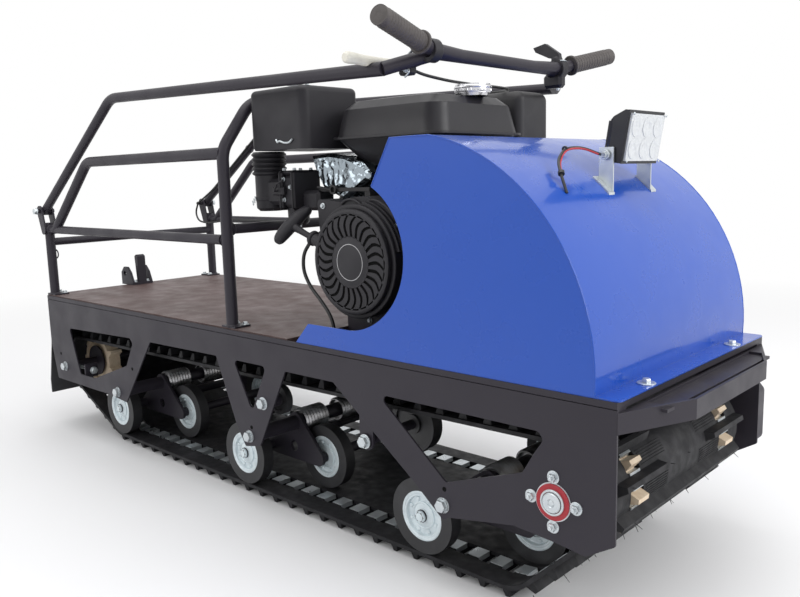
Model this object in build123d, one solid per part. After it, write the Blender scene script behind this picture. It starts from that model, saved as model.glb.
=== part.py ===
from build123d import *
import math
import os

os.makedirs("parts", exist_ok=True)

# Tracked snow towing vehicle, in millimetres.
# +X is forward, +Y is to the left, +Z is up, and the ground is at z = 0.
# While the pieces are made, x is counted from the rear edge of the side plates.
# Everything is then moved back by origin_x, so that the origin is under the middle.

# Frame
frame_length = 1907.0
frame_width = 600.0
plate_t = 4.0
plate_top = 402.0
flange_width = 24.0
pan_t = 3.0
rim_height = 12.0
board_t = 12.0
board_length = 1150.0
fit_gap = 0.3

# Running gear
track_width = 500.0
track_pitch = 54.8
belt_t = 8.0
lug_height = 17.5
drive_teeth = 9
front_tooth_angle = 34.0
tooth_tip = 12.0
front_axle_setback = 107.0
front_axle_z = 234.0
rear_axle_setback = 84.0
rear_axle_z = 204.0
rear_flange_r = 46.0
rear_flange_t = 5.0
row_inset = 70.0
centre_lug = 300.0
side_lug = 150.0
lug_inset = 5.0
window_width = 44.0
window_length = 28.0
wheel_r = 75.0
wheel_width = 28.0
hub_r = 50.0
wheel_gap = 11.0
support_r = 58.0
support_width = 28.0
support_y = 150.0
support_setback = 195.0
support_axle_r = 10.0
hanger_t = 5.0
hanger_half = 18.0
hanger_drop = 40.0
roller_ahead = 56.0
roller_r = 34.0
roller_width = 16.0
roller_overhang = 10.0
roller_axle_r = 8.0
axle_r = 12.5
pivot_r = 17.0
bolt_head_r = 10.0
bolt_head_t = 8.0
bolt_shank_r = 6.0

# Rocker bogies: pivot x, pivot z, run back to the outer wheels, run forward to the inner wheels
front_pivot_setback = 335.0
BOGIE_TABLE = {
    "rear": (401.0, 176.0, 94.0, 91.0),
    "middle": (1004.0, 175.0, 94.0, 77.0),
    "front": (frame_length - front_pivot_setback, 166.0, 97.0, 88.0),
}
arm_t = 8.0
arm_depth = 36.0
arm_gap = 16.0
spring_r = 30.0
spring_wire = 5.0
spring_length = 72.0
spring_coils = 8
spring_y = 118.0
spring_mouth = 9.0

# Cage of round tube
tube_r = 13.5
cage_inset = 16.0
rear_post_x = 22.0
rear_post_top = 636.0
rail_r = 11.5
rail_z = 616.0
upper_rail_z = 808.0
slope_top_x = 300.0
hoop_x = 940.0
hoop_top = 925.0
hoop_shoulder_z = 815.0
hoop_top_half = 200.0
cross_rail_z = 578.0
hoop_bar_z = 640.0

# Folding handle
fold_x = 5.0
fold_z = 671.0
arm_r = 12.5
elbow_x = 459.0
elbow_z = 966.0
arm_end_x = 1440.0
arm_end_z = 936.0
hinge_plate_t = 5.0
pin_r = 6.0
pin_overhang = 13.0
bar_r = 12.5
grip_r = 17.0
grip_length = 125.0
bar_reach = 46.0
bar_lift = 30.0
grip_reach = 88.0
grip_sweep = 28.0
grip_rise = 34.0

# Engine
crank_setback = 604.0
crank_z = 582.0
recoil_r = 105.0
recoil_face_y = -250.0
shroud_r = 128.0
shroud_face_y = -215.0
case_side_y = -135.0
slot_count = 26
rail_height = 52.0
tank_bottom = 772.0
tank_height = 138.0
seam_height = 55.0
seam_t = 5.0
tank_length = 300.0
tank_width = 290.0
filter_bottom = 811.0
filter_height = 131.0

# Hood
hood_t = 2.5
hood_inset = 1.5
hood_setback = 37.0
hood_top_z = 816.0
hood_r = 384.0
hood_centre_z = 438.0
hood_lobe = 43.0

cable_r = 3.0
cable_press = 0.6
cable_ball_r = 6.0
wire_r = 2.5
hose_r = 4.0

# Lamp
lamp_x = frame_length - 129.0
lamp_y = 30.0
lamp_z = 805.0
lamp_half_w = 68.0
lamp_half_h = 46.0
lamp_depth = 38.0
lamp_lean = 9.5
lamp_pin_back = 28.0
lamp_pin_below = 34.0

# Bumper and rear flap
bumper_reach = 58.0
bumper_t = 5.0
bumper_drop = 33.0
bumper_flat_half = 155.0
bumper_gap = 12.0
slot_half = 217.0
flap_back = 45.0
flap_t = 6.0
flap_inset = 38.0

half_width = frame_width / 2
plate_in = half_width - plate_t
cage_y = half_width - cage_inset
hood_half = half_width - hood_inset
flap_half = half_width - flap_inset
front_axle_x = frame_length - front_axle_setback
crank_x = frame_length - crank_setback
hood_front_x = frame_length - hood_setback
tank_top = tank_bottom + tank_height
row_y = track_width / 2 - row_inset
sprocket_width = window_width - 8
outer_wheel_y = track_width / 2 - wheel_width / 2
inner_wheel_y = row_y - window_width / 2 - wheel_gap - wheel_width / 2
arm_y = inner_wheel_y + wheel_width / 2 + arm_gap
BOGIES = {name: (x, z, x - back, x + ahead) for name, (x, z, back, ahead) in BOGIE_TABLE.items()}
support_x = BOGIES["front"][0] - support_setback
roller_x = BOGIES["middle"][0] + roller_ahead
roller_y = track_width / 2 + roller_overhang - roller_width / 2
bar_x = arm_end_x + bar_reach
bar_z = arm_end_z + bar_lift
rim_top = plate_top + rim_height
board_bottom = plate_top + pan_t
deck_top = board_bottom + board_t
pitch_r = drive_teeth * track_pitch / (2 * math.pi)
wrap_r = pitch_r - belt_t / 2
wheel_z = lug_height + belt_t + wheel_r
bumper_front = frame_length + bumper_reach
origin_x = (bumper_front - flap_back) / 2


def box(x0, x1, y0, y1, z0, z1):
    """A block between two x, two y and two z values."""
    middle = ((x0 + x1) / 2, (y0 + y1) / 2, (z0 + z1) / 2)
    return Location(middle) * Box(x1 - x0, y1 - y0, z1 - z0)


def side_plane(y):
    """The plane of a side view at y: local x is forward and local y is up."""
    return Plane(origin=(0, y, 0), x_dir=(1, 0, 0), z_dir=(0, -1, 0))


def across(outline, y0, y1):
    """A side-view outline given thickness from y0 to y1."""
    return extrude(side_plane(y1) * outline, y1 - y0)


def rod(start, end, radius):
    """A round bar between two points."""
    run = Vector(*end) - Vector(*start)
    return Solid.make_cylinder(radius, run.length, Plane(origin=start, z_dir=run))


def cross_rod(x, z, radius, y0, y1):
    """A round bar that lies across the machine."""
    return rod((x, y0, z), (x, y1, z), radius)


def ring(x, z, outer, inner, y0, y1):
    """A round collar that lies across the machine."""
    return cross_rod(x, z, outer, y0, y1) - cross_rod(x, z, inner, y0 - 1, y1 + 1)


def bent_bar(points, radius, bends):
    """A round bar along straight runs that are joined by arcs."""
    path = FilletPolyline(*points, radius=bends)
    start = Plane(origin=path @ 0, z_dir=path % 0)
    return sweep(start * Circle(radius), path=path)


def left_of(shape):
    """The same piece on the left side of the machine."""
    return mirror(shape, about=Plane.XZ)


def save(node, *shapes):
    """Write one node, moved so that the origin is under the middle."""
    solids = [solid for shape in shapes for solid in shape.solids()]
    body = solids[0] if len(solids) == 1 else Compound(solids)
    export_step(Location((-origin_x, 0, 0)) * body, f"parts/{node}.step")


# The belt's loop, as circles (x, z, radius) joined by outer tangents
def tangent_angles(circles):
    angles = []
    for here, there in zip(circles, circles[1:] + circles[:1]):
        run = math.hypot(there[0] - here[0], there[1] - here[1])
        course = math.atan2(there[1] - here[1], there[0] - here[0])
        angles.append(course + math.acos((here[2] - there[2]) / run))
    return angles


def loop_parts(circles, offset):
    """The loop's arcs and straight runs, clockwise, each with its length."""
    angles = tangent_angles(circles)
    parts = []
    for index, (x, z, r) in enumerate(circles):
        enters = angles[index - 1]
        leaves = angles[index]
        while leaves > enters:
            leaves -= 2 * math.pi
        while enters - leaves > 2 * math.pi:
            leaves += 2 * math.pi
        radius = r + offset
        parts.append(("arc", x, z, radius, enters, leaves, (enters - leaves) * radius))
        there = circles[(index + 1) % len(circles)]
        run = math.hypot(there[0] - x, there[1] - z)
        length = math.sqrt(run**2 - (r - there[2]) ** 2)
        parts.append(("line", x, z, radius, leaves, leaves, length))
    return parts


def loop_length(circles, offset):
    return sum(part[-1] for part in loop_parts(circles, offset))


def belt_circles(rear_x):
    first_wheel = min(bogie[2] for bogie in BOGIES.values())
    last_wheel = max(bogie[3] for bogie in BOGIES.values())
    return [
        (rear_x, rear_axle_z, wrap_r),
        (front_axle_x, front_axle_z, wrap_r),
        (last_wheel, wheel_z, wheel_r),
        (first_wheel, wheel_z, wheel_r),
    ]


track_pitches = round(loop_length(belt_circles(rear_axle_setback), belt_t / 2) / track_pitch)


# The rear axle is slid back until the belt's middle line holds a whole number of pitches.
def tension_rear_axle():
    near = -300.0
    far = 260.0
    for step in range(60):
        middle = (near + far) / 2
        if loop_length(belt_circles(middle), belt_t / 2) > track_pitch * track_pitches:
            near = middle
        else:
            far = middle
    return middle


def front_tooth_distance():
    """How far along the belt's middle line a tooth stands on the front wrap."""
    rear_wrap, upper_run, front_wrap = loop_parts(CIRCLES, belt_t / 2)[:3]
    turn = front_wrap[4] - math.radians(front_tooth_angle)
    return rear_wrap[-1] + upper_run[-1] + turn * front_wrap[3]


rear_axle_x = tension_rear_axle()
CIRCLES = belt_circles(rear_axle_x)
first_tooth = front_tooth_distance()


def walk(distance):
    """The place and outward angle on the belt's inner face, by distance along its middle line."""
    distance %= loop_length(CIRCLES, belt_t / 2)
    for part in loop_parts(CIRCLES, belt_t / 2):
        kind, x, z, radius, angle, leaves, length = part
        if distance <= length:
            inner = radius - belt_t / 2
            if kind == "arc":
                angle -= distance / radius
                distance = 0
            px = x + inner * math.cos(angle) + distance * math.sin(angle)
            pz = z + inner * math.sin(angle) - distance * math.cos(angle)
            return px, pz, angle
        distance -= length
    raise ValueError("the distance is past the end of the loop")


def loop_face(offset):
    """The face inside the belt's loop, moved outward by offset."""
    edges = []
    parts = loop_parts(CIRCLES, offset)
    for index in range(0, len(parts), 2):
        kind, x, z, radius, enters, leaves, length = parts[index]
        arc = [
            (x + radius * math.cos(angle), z + radius * math.sin(angle))
            for angle in (enters, (enters + leaves) / 2, leaves)
        ]
        if edges:
            edges.append(Line(edges[-1] @ 1, arc[0]))
        edges.append(ThreePointArc(*arc))
    edges.append(Line(edges[-1] @ 1, edges[0] @ 0))
    return make_face(Wire(edges))


def on_belt(distance, y, lift):
    """Local frame on the belt: x along it, y across the machine, z outward."""
    px, pz, angle = walk(distance)
    out = (math.cos(angle), 0, math.sin(angle))
    along = (math.sin(angle), 0, -math.cos(angle))
    origin = (px + lift * out[0], y, pz + lift * out[2])
    return Plane(origin=origin, x_dir=along, z_dir=out)


def lug(distance, y, width):
    """One rubber lug: a bar across the belt that narrows to its tip."""
    sink = 1.0
    base = on_belt(distance, y, belt_t - sink) * Rectangle(20, width)
    tip = on_belt(distance, y, belt_t + lug_height) * Rectangle(9, width - 8)
    return loft([base, tip])


def track():
    half = track_width / 2
    belt = across(loop_face(belt_t), -half, half) - across(loop_face(0), -half - 1, half + 1)
    side_lug_y = half - lug_inset - side_lug / 2
    windows = []
    lugs = []
    for index in range(track_pitches):
        tooth = first_tooth + index * track_pitch
        between = tooth + track_pitch / 2
        for side in (-1, 1):
            frame = on_belt(tooth, side * row_y, belt_t / 2)
            windows.append(frame * Box(window_length, window_width, belt_t * 3))
            lugs.append(lug(between, side * side_lug_y, side_lug))
        if index % 2:
            lugs.append(lug(between, 0, centre_lug))
    belt = belt - windows
    return belt + lugs


# Sprockets: teeth stand through the belt's windows at both ends
def sprocket_outline(x, z, first_angle):
    rim = wrap_r - fit_gap
    outline = Pos(x, z) * Circle(rim)
    for index in range(drive_teeth):
        angle = first_angle + index * 360 / drive_teeth
        tooth = Polygon(
            (rim - 3, -9),
            (rim + 4, -9),
            (rim + belt_t + tooth_tip, -4),
            (rim + belt_t + tooth_tip, 4),
            (rim + 4, 9),
            (rim - 3, 9),
            align=None,
        )
        outline += Pos(x, z) * Rot(0, 0, angle) * tooth
    return outline


def window_angle(x, z):
    """The angle of the first window that lies on the wrap about (x, z)."""
    best = None
    for index in range(track_pitches):
        px, pz, angle = walk(first_tooth + index * track_pitch)
        if math.isclose(math.hypot(px - x, pz - z), wrap_r, abs_tol=0.01):
            best = angle
    return math.degrees(best)


def sprocket(x, z, y):
    width = sprocket_width
    body = across(sprocket_outline(x, z, window_angle(x, z)), y - width / 2, y + width / 2)
    body -= cross_rod(x, z, axle_r, y - width, y + width)
    recess = 7.0
    for y0, y1 in ((y - width, y - width / 2 + recess), (y + width / 2 - recess, y + width)):
        body -= ring(x, z, wrap_r - 14, axle_r + 12, y0, y1)
    return body


def axle_with_bolts(x, z, radius, reach):
    """A cross shaft that ends on the plates' inner faces, held by a bolt through each plate."""
    shaft = cross_rod(x, z, radius, -reach, reach)
    for side in (-1, 1):
        shank = cross_rod(x, z, bolt_shank_r, side * reach, side * half_width)
        washer = cross_rod(x, z, bolt_head_r + 4, side * half_width, side * (half_width + 2))
        head_plane = side_plane(side * (half_width + 2))
        head = extrude(head_plane * Pos(x, z) * RegularPolygon(bolt_head_r, 6), -side * bolt_head_t)
        shaft = shaft + shank + washer + head
    return shaft


def rear_axle():
    """The rear axle, with a flange that backs each sprocket."""
    body = axle_with_bolts(rear_axle_x, rear_axle_z, axle_r, plate_in)
    for side in (-1, 1):
        inner = side * (row_y + sprocket_width / 2)
        body += cross_rod(rear_axle_x, rear_axle_z, rear_flange_r, inner, inner + side * rear_flange_t)
    return body


# Side plates
def side_plate_outline():
    rear_pivot = BOGIES["rear"]
    middle_pivot = BOGIES["middle"]
    front_pivot = BOGIES["front"]
    arch = plate_top - 56
    points = [
        (0, plate_top),
        (0, rear_axle_z + 71),
        (27, rear_axle_z - 45),
        (rear_pivot[0] - 114, rear_pivot[1] - 16),
        (rear_pivot[0] - 52, rear_pivot[1] - 14),
        (rear_pivot[0] + 44, rear_pivot[1] - 22),
        (rear_pivot[0] + 192, arch - 5),
        (middle_pivot[0] - 114, arch),
        (middle_pivot[0] - 47, middle_pivot[1] + 17),
        (middle_pivot[0] - 17, middle_pivot[1] - 27),
        (middle_pivot[0] + 38, middle_pivot[1] - 15),
        (middle_pivot[0] + 138, arch),
        (front_pivot[0] - 280, arch + 1),
        (front_pivot[0] - 242, arch - 27),
        (front_pivot[0] - 69, front_pivot[1] + 27),
        (front_pivot[0] - 1, front_pivot[1] - 28),
        (front_pivot[0] + 13, front_pivot[1] - 20),
        (front_axle_x - 77, front_axle_z - 62),
        (front_axle_x, front_axle_z - 67),
        (front_axle_x + 57, front_axle_z - 74),
        (frame_length, front_axle_z - 43),
        (frame_length, plate_top),
    ]
    face = make_face(Polyline(*points, close=True))
    soft = [v for v in face.vertices() if v.Y < plate_top - 1]
    return fillet(soft, 5)


def rounded_window(points, radius):
    face = make_face(Polyline(*points, close=True))
    return fillet(face.vertices(), radius)


def side_plate():
    plate = side_plate_outline()
    top = plate_top - 58
    rear_x = BOGIES["rear"][0]
    middle_x = BOGIES["middle"][0]
    front_x = BOGIES["front"][0]
    plate -= rounded_window([(rear_x - 270, top - 18), (rear_x + 88, top - 5), (rear_x + 102, top - 18),
                             (rear_x + 60, top - 85), (rear_x - 30, top - 115), (rear_x - 132, top - 150),
                             (rear_x - 221, top - 151)], 9)
    plate -= rounded_window([(middle_x - 47, top + 2), (middle_x + 73, top + 3),
                             (middle_x + 14, top - 110)], 9)
    plate -= rounded_window([(front_x - 157, top), (front_axle_x - 28, top), (front_axle_x - 19, top - 13),
                             (front_axle_x - 35, top - 36), (front_axle_x - 59, top - 76),
                             (front_x + 7, top - 134)], 9)
    plate -= Pos(front_axle_x, front_axle_z) * Circle(bearing_hole_r)
    for x, z in [(rear_axle_x, rear_axle_z)] + [(b[0], b[1]) for b in BOGIES.values()]:
        plate -= Pos(x, z) * Circle(bolt_shank_r)
    body = across(plate, -half_width, -plate_in)
    body += box(0, frame_length, -plate_in, -plate_in + flange_width, plate_top - plate_t, plate_top)
    return body


bearing_hole_r = 32.0
bearing_bolt_pcd_r = 41.0
seal_r = 30.0
shaft_end_r = 17.0


def bearing_housing():
    """Flange bearing on the plate's inner face, with a round neck out through the plate."""
    outline = Pos(front_axle_x, front_axle_z) * Circle(bearing_bolt_pcd_r + 13)
    body = across(outline, -plate_in, -plate_in + 8)
    body += cross_rod(front_axle_x, front_axle_z, bearing_hole_r, -half_width - 1, -plate_in)
    body += cross_rod(front_axle_x, front_axle_z, 36, -plate_in + 8, -plate_in + 20)
    body -= cross_rod(front_axle_x, front_axle_z, shaft_end_r, -half_width - 5, -plate_in + 30)
    return body


def bearing_seal():
    return ring(front_axle_x, front_axle_z, seal_r, shaft_end_r, -half_width - 3, -half_width - 1)


def drive_axle():
    shaft = cross_rod(front_axle_x, front_axle_z, axle_r, -plate_in + 20, plate_in - 20)
    for side in (-1, 1):
        end = half_width + 4 if side < 0 else half_width + 36
        shaft += cross_rod(front_axle_x, front_axle_z, shaft_end_r, side * (plate_in - 20), side * end)
    return shaft


# Road wheels
def tyre(x, y):
    return ring(x, wheel_z, wheel_r, hub_r, y - wheel_width / 2, y + wheel_width / 2)


def hub(x, y):
    """A pressed disc hub: a flat rim ring and a dished middle, alike on both sides."""
    half = wheel_width / 2
    face = half - 1
    profile = Polyline(
        (axle_r, 3 - half), (28, 7 - half), (38, 7 - half), (40, -face), (hub_r, -face),
        (hub_r, face), (40, face), (38, half - 7), (28, half - 7), (axle_r, half - 3), close=True,
    )
    turned = revolve(make_face(profile), Axis.Y)
    return Location((x, y, wheel_z)) * turned


def wheel_places():
    for pivot_x, pivot_z, outer_x, inner_x in BOGIES.values():
        for side in (-1, 1):
            yield outer_x, side * outer_wheel_y
            yield inner_x, side * inner_wheel_y


def rocker(name):
    """A pivot tube, two flat arms and two cross axles, welded into one rocking bogie."""
    pivot_x, pivot_z, outer_x, inner_x = BOGIES[name]
    body = axle_with_bolts(pivot_x, pivot_z, pivot_r, plate_in)
    arm = make_hull(
        (Pos(outer_x, wheel_z) * Circle(arm_depth / 2)).edges()
        + (Pos(inner_x, wheel_z) * Circle(arm_depth / 2)).edges()
        + (Pos(pivot_x, pivot_z) * Circle(arm_depth / 2 + 6)).edges()
    )
    hollow_x = (outer_x + inner_x) / 2
    arm -= Pos(hollow_x, wheel_z + 14) * Circle(13)
    for side in (-1, 1):
        body += across(arm, side * arm_y - arm_t / 2, side * arm_y + arm_t / 2)
    outer_end = outer_wheel_y + wheel_width / 2 + 1
    body += cross_rod(outer_x, wheel_z, axle_r, -outer_end, outer_end)
    body += cross_rod(inner_x, wheel_z, axle_r, -arm_y, arm_y)
    for side in (-1, 1):
        cap = RegularPolygon(bolt_head_r, 6)
        end_plane = side_plane(side * outer_end)
        body += extrude(end_plane * Pos(outer_x, wheel_z) * cap, -side * 6)
    return body


def spring(pivot_x, pivot_z, y):
    """A torsion spring about the pivot tube: close coils on a sleeve, open at both ends."""
    half = spring_length / 2
    coil = spring_length / spring_coils
    sleeve_r = pivot_r + fit_gap
    mouth_r = spring_r - spring_wire
    shelf = half - spring_mouth
    points = [(sleeve_r, -shelf), (mouth_r, -shelf), (mouth_r, -half)]
    for index in range(spring_coils):
        points.append((spring_r - 3.5, index * coil - half))
        points.append((spring_r, (index + 0.5) * coil - half))
    points += [(spring_r - 3.5, half), (mouth_r, half), (mouth_r, shelf), (sleeve_r, shelf)]
    turned = revolve(make_face(Polyline(*points, close=True)), Axis.Y)
    return Location((pivot_x, y, pivot_z)) * turned


def support_wheel(y):
    """A black support wheel that the belt's upper run lies on."""
    x, z = support_place()
    half = support_width / 2
    body = cross_rod(x, z, support_r, y - half, y + half)
    body -= ring(x, z, support_r - 12, 20, y - half - 1, y - half + 6)
    body -= ring(x, z, support_r - 12, 20, y + half - 6, y + half + 1)
    return body - cross_rod(x, z, support_axle_r, y - half, y + half)


def support_place():
    """The support wheels' centre, a wheel's radius inside the belt's upper run."""
    return under_upper_run(support_x, support_r)


def under_upper_run(x, radius):
    """The centre of a wheel that touches the belt's upper run at x from inside."""
    px, pz, angle = upper_run_point(x)
    return px - radius * math.cos(angle), pz - radius * math.sin(angle)


def edge_roller(side):
    """A small roller under the belt's edge, just inside the side plate."""
    x, z = under_upper_run(roller_x, roller_r)
    y0 = side * roller_y - roller_width / 2
    body = cross_rod(x, z, roller_r, y0, y0 + roller_width)
    body -= ring(x, z, roller_r - 8, roller_axle_r + 6, y0 - 1, y0 + 4)
    body -= ring(x, z, roller_r - 8, roller_axle_r + 6, y0 + roller_width - 4, y0 + roller_width + 1)
    return body - cross_rod(x, z, roller_axle_r, y0 - 1, y0 + roller_width + 1)


def roller_stub(side):
    """The roller's stub shaft, which stands on the plate's inner face."""
    x, z = under_upper_run(roller_x, roller_r)
    inner_end = roller_y - roller_width / 2
    shaft = cross_rod(x, z, roller_axle_r, side * inner_end, side * plate_in)
    return shaft + cross_rod(x, z, roller_axle_r + 6, side * (roller_y + roller_width / 2), side * plate_in)


def support_axle():
    """A shaft between two flat hangers, which are welded to the side plates' inner faces."""
    x, z = support_place()
    body = cross_rod(x, z, support_axle_r, -plate_in + hanger_t, plate_in - hanger_t)
    hanger = make_hull(
        (Pos(x, z) * Circle(hanger_half)).edges()
        + (Pos(x, plate_top - hanger_drop) * Rectangle(2 * hanger_half, 4)).edges()
    )
    for side in (-1, 1):
        y0, y1 = sorted((side * plate_in, side * (plate_in - hanger_t)))
        body += across(hanger, y0, y1)
        nut_plane = side_plane(side * (plate_in - hanger_t))
        nut = extrude(nut_plane * Pos(x, z) * RegularPolygon(bolt_head_r + 4, 6), side * 8)
        body += nut
    return body


def upper_run_point(x):
    angle = tangent_angles(CIRCLES)[0]
    start_x = rear_axle_x + wrap_r * math.cos(angle)
    start_z = rear_axle_z + wrap_r * math.sin(angle)
    run = (x - start_x) / math.sin(angle)
    return x, start_z - run * math.cos(angle), angle


# Deck, bumper, flap and hitch
def deck_pan():
    """A shallow folded tray, with its bends rounded along the bottom edge."""
    body = box(0, frame_length, -half_width, half_width, plate_top, rim_top)
    body = fillet(body.faces().sort_by(Axis.Z)[0].edges().filter_by(Axis.X), pan_t)
    body -= box(pan_t, frame_length - pan_t, -half_width + pan_t, half_width - pan_t,
                board_bottom, rim_top + 1)
    return body


def deck_board():
    inset = pan_t + 1
    return box(inset, board_length, -half_width + inset, half_width - inset, board_bottom, deck_top)


def bumper():
    """A flat strip bent round the frame's front, and a plate a little below its top edge."""
    top = plate_top - plate_t
    bottom = top - bumper_drop
    plan = bumper_plan()
    inner = offset(plan, -bumper_t, kind=Kind.INTERSECTION)
    ahead = box(frame_length, bumper_front, -half_width, half_width, bottom, top)
    strip = extrude(Plane.XY.offset(bottom) * plan, bumper_drop)
    strip -= extrude(Plane.XY.offset(bottom) * inner, bumper_drop)
    cover = extrude(Plane.XY.offset(top - bumper_t) * inner, bumper_t)
    cover -= box(frame_length + bumper_t, bumper_front, -slot_half, slot_half, bottom, top)
    lip = slot_half + bumper_t
    tongue_front = bumper_front - bumper_t - bumper_gap
    tongue = box(frame_length, tongue_front, -lip, lip, top - 2 * bumper_t, top - bumper_t)
    return ((strip + cover) & ahead) + tongue


def bumper_plan():
    """The bumper's outer outline from above, run a little way back into the frame."""
    back = frame_length - 20
    return make_face(Polyline((back, -half_width), (frame_length, -half_width),
                              (bumper_front, -bumper_flat_half), (bumper_front, bumper_flat_half),
                              (frame_length, half_width), (back, half_width), close=True))


def rear_flap():
    """A rubber sheet that hangs behind the track from the frame's rear edge."""
    body = box(-flap_t, 0, -flap_half, flap_half, 270, rim_top - 2)
    lower = Polyline((0, 300), (-flap_t, 300), (-flap_back, 140), (-flap_back + flap_t, 140), close=True)
    return body + across(make_face(lower), -flap_half, flap_half)


def tow_hitch():
    """Two cheeks with a pin hole on a base plate, and a taller guide behind them."""
    body = box(-30, 40, -36, 36, deck_top, deck_top + 8)
    cheek = make_face(Polyline((-30, deck_top + 8), (-30, deck_top + 40), (-12, deck_top + 58),
                               (8, deck_top + 58), (26, deck_top + 40), (40, deck_top + 8), close=True))
    for y in (-36, 28):
        body += across(cheek, y, y + 8)
    body -= cross_rod(-8, deck_top + 36, 8, -60, 60)
    guide = make_face(Polyline((30, deck_top + 8), (22, deck_top + 92), (30, deck_top + 98),
                               (40, deck_top + 92), (40, deck_top + 8), close=True))
    return body + across(guide, -14, 14)


def chain_case():
    """Folded cover over the final drive chain, on the left plate."""
    x = front_axle_x
    outline = make_face(Polyline((x - 110, 192), (frame_length, 192), (frame_length, 300), (x - 80, 520),
                                 (x - 140, 560), (x - 210, 540), (x - 230, 480), close=True))
    outline = fillet(outline.vertices(), 14)
    body = across(outline, half_width, half_width + 40)
    edges = body.faces().sort_by(Axis.Y)[-1].edges()
    body = chamfer(edges, 12)
    body -= cross_rod(front_axle_x, front_axle_z, shaft_end_r + 20, half_width - 1, half_width + 37)
    return body


# Cage
def cage_rear():
    body = None
    for side in (-1, 1):
        y = side * cage_y
        post = rod((rear_post_x, y, deck_top), (rear_post_x, y, rear_post_top), tube_r)
        foot = Pos(rear_post_x, side * (cage_y - 10), deck_top + 2) * Box(50, 44, 4)
        piece = post + foot + hinge_ears(side)
        body = piece if body is None else body + piece
    return body + rod((rear_post_x, -cage_y, cross_rail_z), (rear_post_x, cage_y, cross_rail_z), rail_r)


def hinge_ears(side):
    """Two flat ears on the post's top, which hold the handle arm's pin."""
    ear = make_hull(
        (Pos(fold_x, fold_z) * Circle(16)).edges()
        + (Pos(rear_post_x, rear_post_top - 22) * Circle(13)).edges()
    )
    ears = None
    inner = arm_r + 1
    for y in (side * cage_y - inner - hinge_plate_t, side * cage_y + inner):
        plate = across(ear, y, y + hinge_plate_t)
        ears = plate if ears is None else ears + plate
    block = box(rear_post_x - 10, rear_post_x + 10, side * cage_y - inner, side * cage_y + inner,
                rear_post_top - 30, rear_post_top - 2)
    pin = cross_rod(fold_x, fold_z, pin_r, side * cage_y - arm_r - pin_overhang,
                    side * cage_y + arm_r + pin_overhang)
    return ears + block + pin


def cage_side(side):
    y = side * cage_y
    mid = rod((rear_post_x, y, rail_z), (hoop_x, y, rail_z), rail_r)
    upper = bent_bar([(68, y, rail_z), (slope_top_x, y, upper_rail_z), (hoop_x, y, upper_rail_z)],
                     tube_r, 60)
    body = mid + upper
    body -= rod((rear_post_x, y, deck_top), (rear_post_x, y, rear_post_top + 20), tube_r)
    body -= hinge_ears(side)
    body -= hoop_bar()
    return body.solids().sort_by(SortBy.VOLUME)[-1]


def hoop_bar():
    """The front hoop's bent tube."""
    points = [
        (hoop_x, -cage_y, deck_top),
        (hoop_x, -cage_y, hoop_shoulder_z),
        (hoop_x, -hoop_top_half, hoop_top),
        (hoop_x, hoop_top_half, hoop_top),
        (hoop_x, cage_y, hoop_shoulder_z),
        (hoop_x, cage_y, deck_top),
    ]
    return bent_bar(points, tube_r, 70)


def front_hoop():
    body = hoop_bar()
    body += rod((hoop_x, -cage_y, hoop_bar_z), (hoop_x, cage_y, hoop_bar_z), rail_r)
    for side in (-1, 1):
        body += Pos(hoop_x, side * (cage_y - 10), deck_top + 2) * Box(50, 44, 4)
    return body


# Handle
def handle_arm(side):
    y = side * cage_y
    body = bent_bar([(fold_x, y, fold_z), (elbow_x, y, elbow_z), (arm_end_x, y, arm_end_z)], arm_r, 90)
    knuckle = cross_rod(fold_x, fold_z, arm_r, y - arm_r, y + arm_r)
    body += knuckle
    return body - cross_rod(fold_x, fold_z, pin_r + 0.1, y - 40, y + 40)


def handlebar():
    """The cross bar between the arms, with an upswept stub at each end for the grip."""
    body = rod((bar_x, 84 - cage_y, bar_z), (bar_x, cage_y - 84, bar_z), bar_r)
    for side in (-1, 1):
        root, end = stub_ends(side)
        body += bent_bar([(bar_x, side * (cage_y - 164), bar_z), root, end], bar_r, 60)
        body += rod((arm_end_x - 4, side * cage_y, arm_end_z), (bar_x, side * (cage_y - 94), bar_z), bar_r)
    for side in (-1, 1):
        body -= handle_arm(side)
    return body.solids().sort_by(SortBy.VOLUME)[-1]


def stub_ends(side):
    """The two ends of the straight stub that carries a grip."""
    root = (bar_x + 6, side * (cage_y - 69), bar_z + 4)
    end = (root[0] + grip_sweep, side * (cage_y + grip_reach), root[2] + grip_rise)
    return root, end


def grip(side):
    root, end = (Vector(*point) for point in stub_ends(side))
    way = (end - root).normalized()
    base = end - way * grip_length
    tip = end + way * 4
    body = rod(tuple(base), tuple(tip), grip_r)
    body += rod(tuple(base - way * 5), tuple(base), grip_r + 4)
    return body - rod(tuple(base - way * 20), tuple(end), bar_r)


# Engine
def engine_rails():
    """Two channel rails under the engine."""
    body = None
    for y in (-120, 60):
        rail = box(crank_x - 153, crank_x + 147, y, y + 40, board_bottom, board_bottom + rail_height)
        rail -= box(crank_x - 154, crank_x + 148, y + 4, y + 36, board_bottom - 1,
                    board_bottom + rail_height - 4)
        body = rail if body is None else body + rail
    return body


def engine_block():
    """The crankcase as one plain block with its foot, shaft, tank stays and governor arm."""
    base = board_bottom + rail_height
    x = crank_x
    body = box(x - 118, x + 117, -130, 110, base, base + 14)
    case = make_face(Polyline((x - 98, base + 14), (x + 97, base + 14), (x + 97, crank_z + 108),
                              (x + 27, crank_z + 138), (x - 88, crank_z + 118), close=True))
    body += across(fillet(case.vertices(), 12), case_side_y, 105)
    body += cross_rod(x, crank_z, 60, 105, 122)
    body += cross_rod(x, crank_z, 14, 122, 232)
    for y in (-60, 60):
        body += rod((x - 3, y, crank_z + 110), (x - 3, y, tank_bottom), 9)
    return body + governor_arm()


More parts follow.
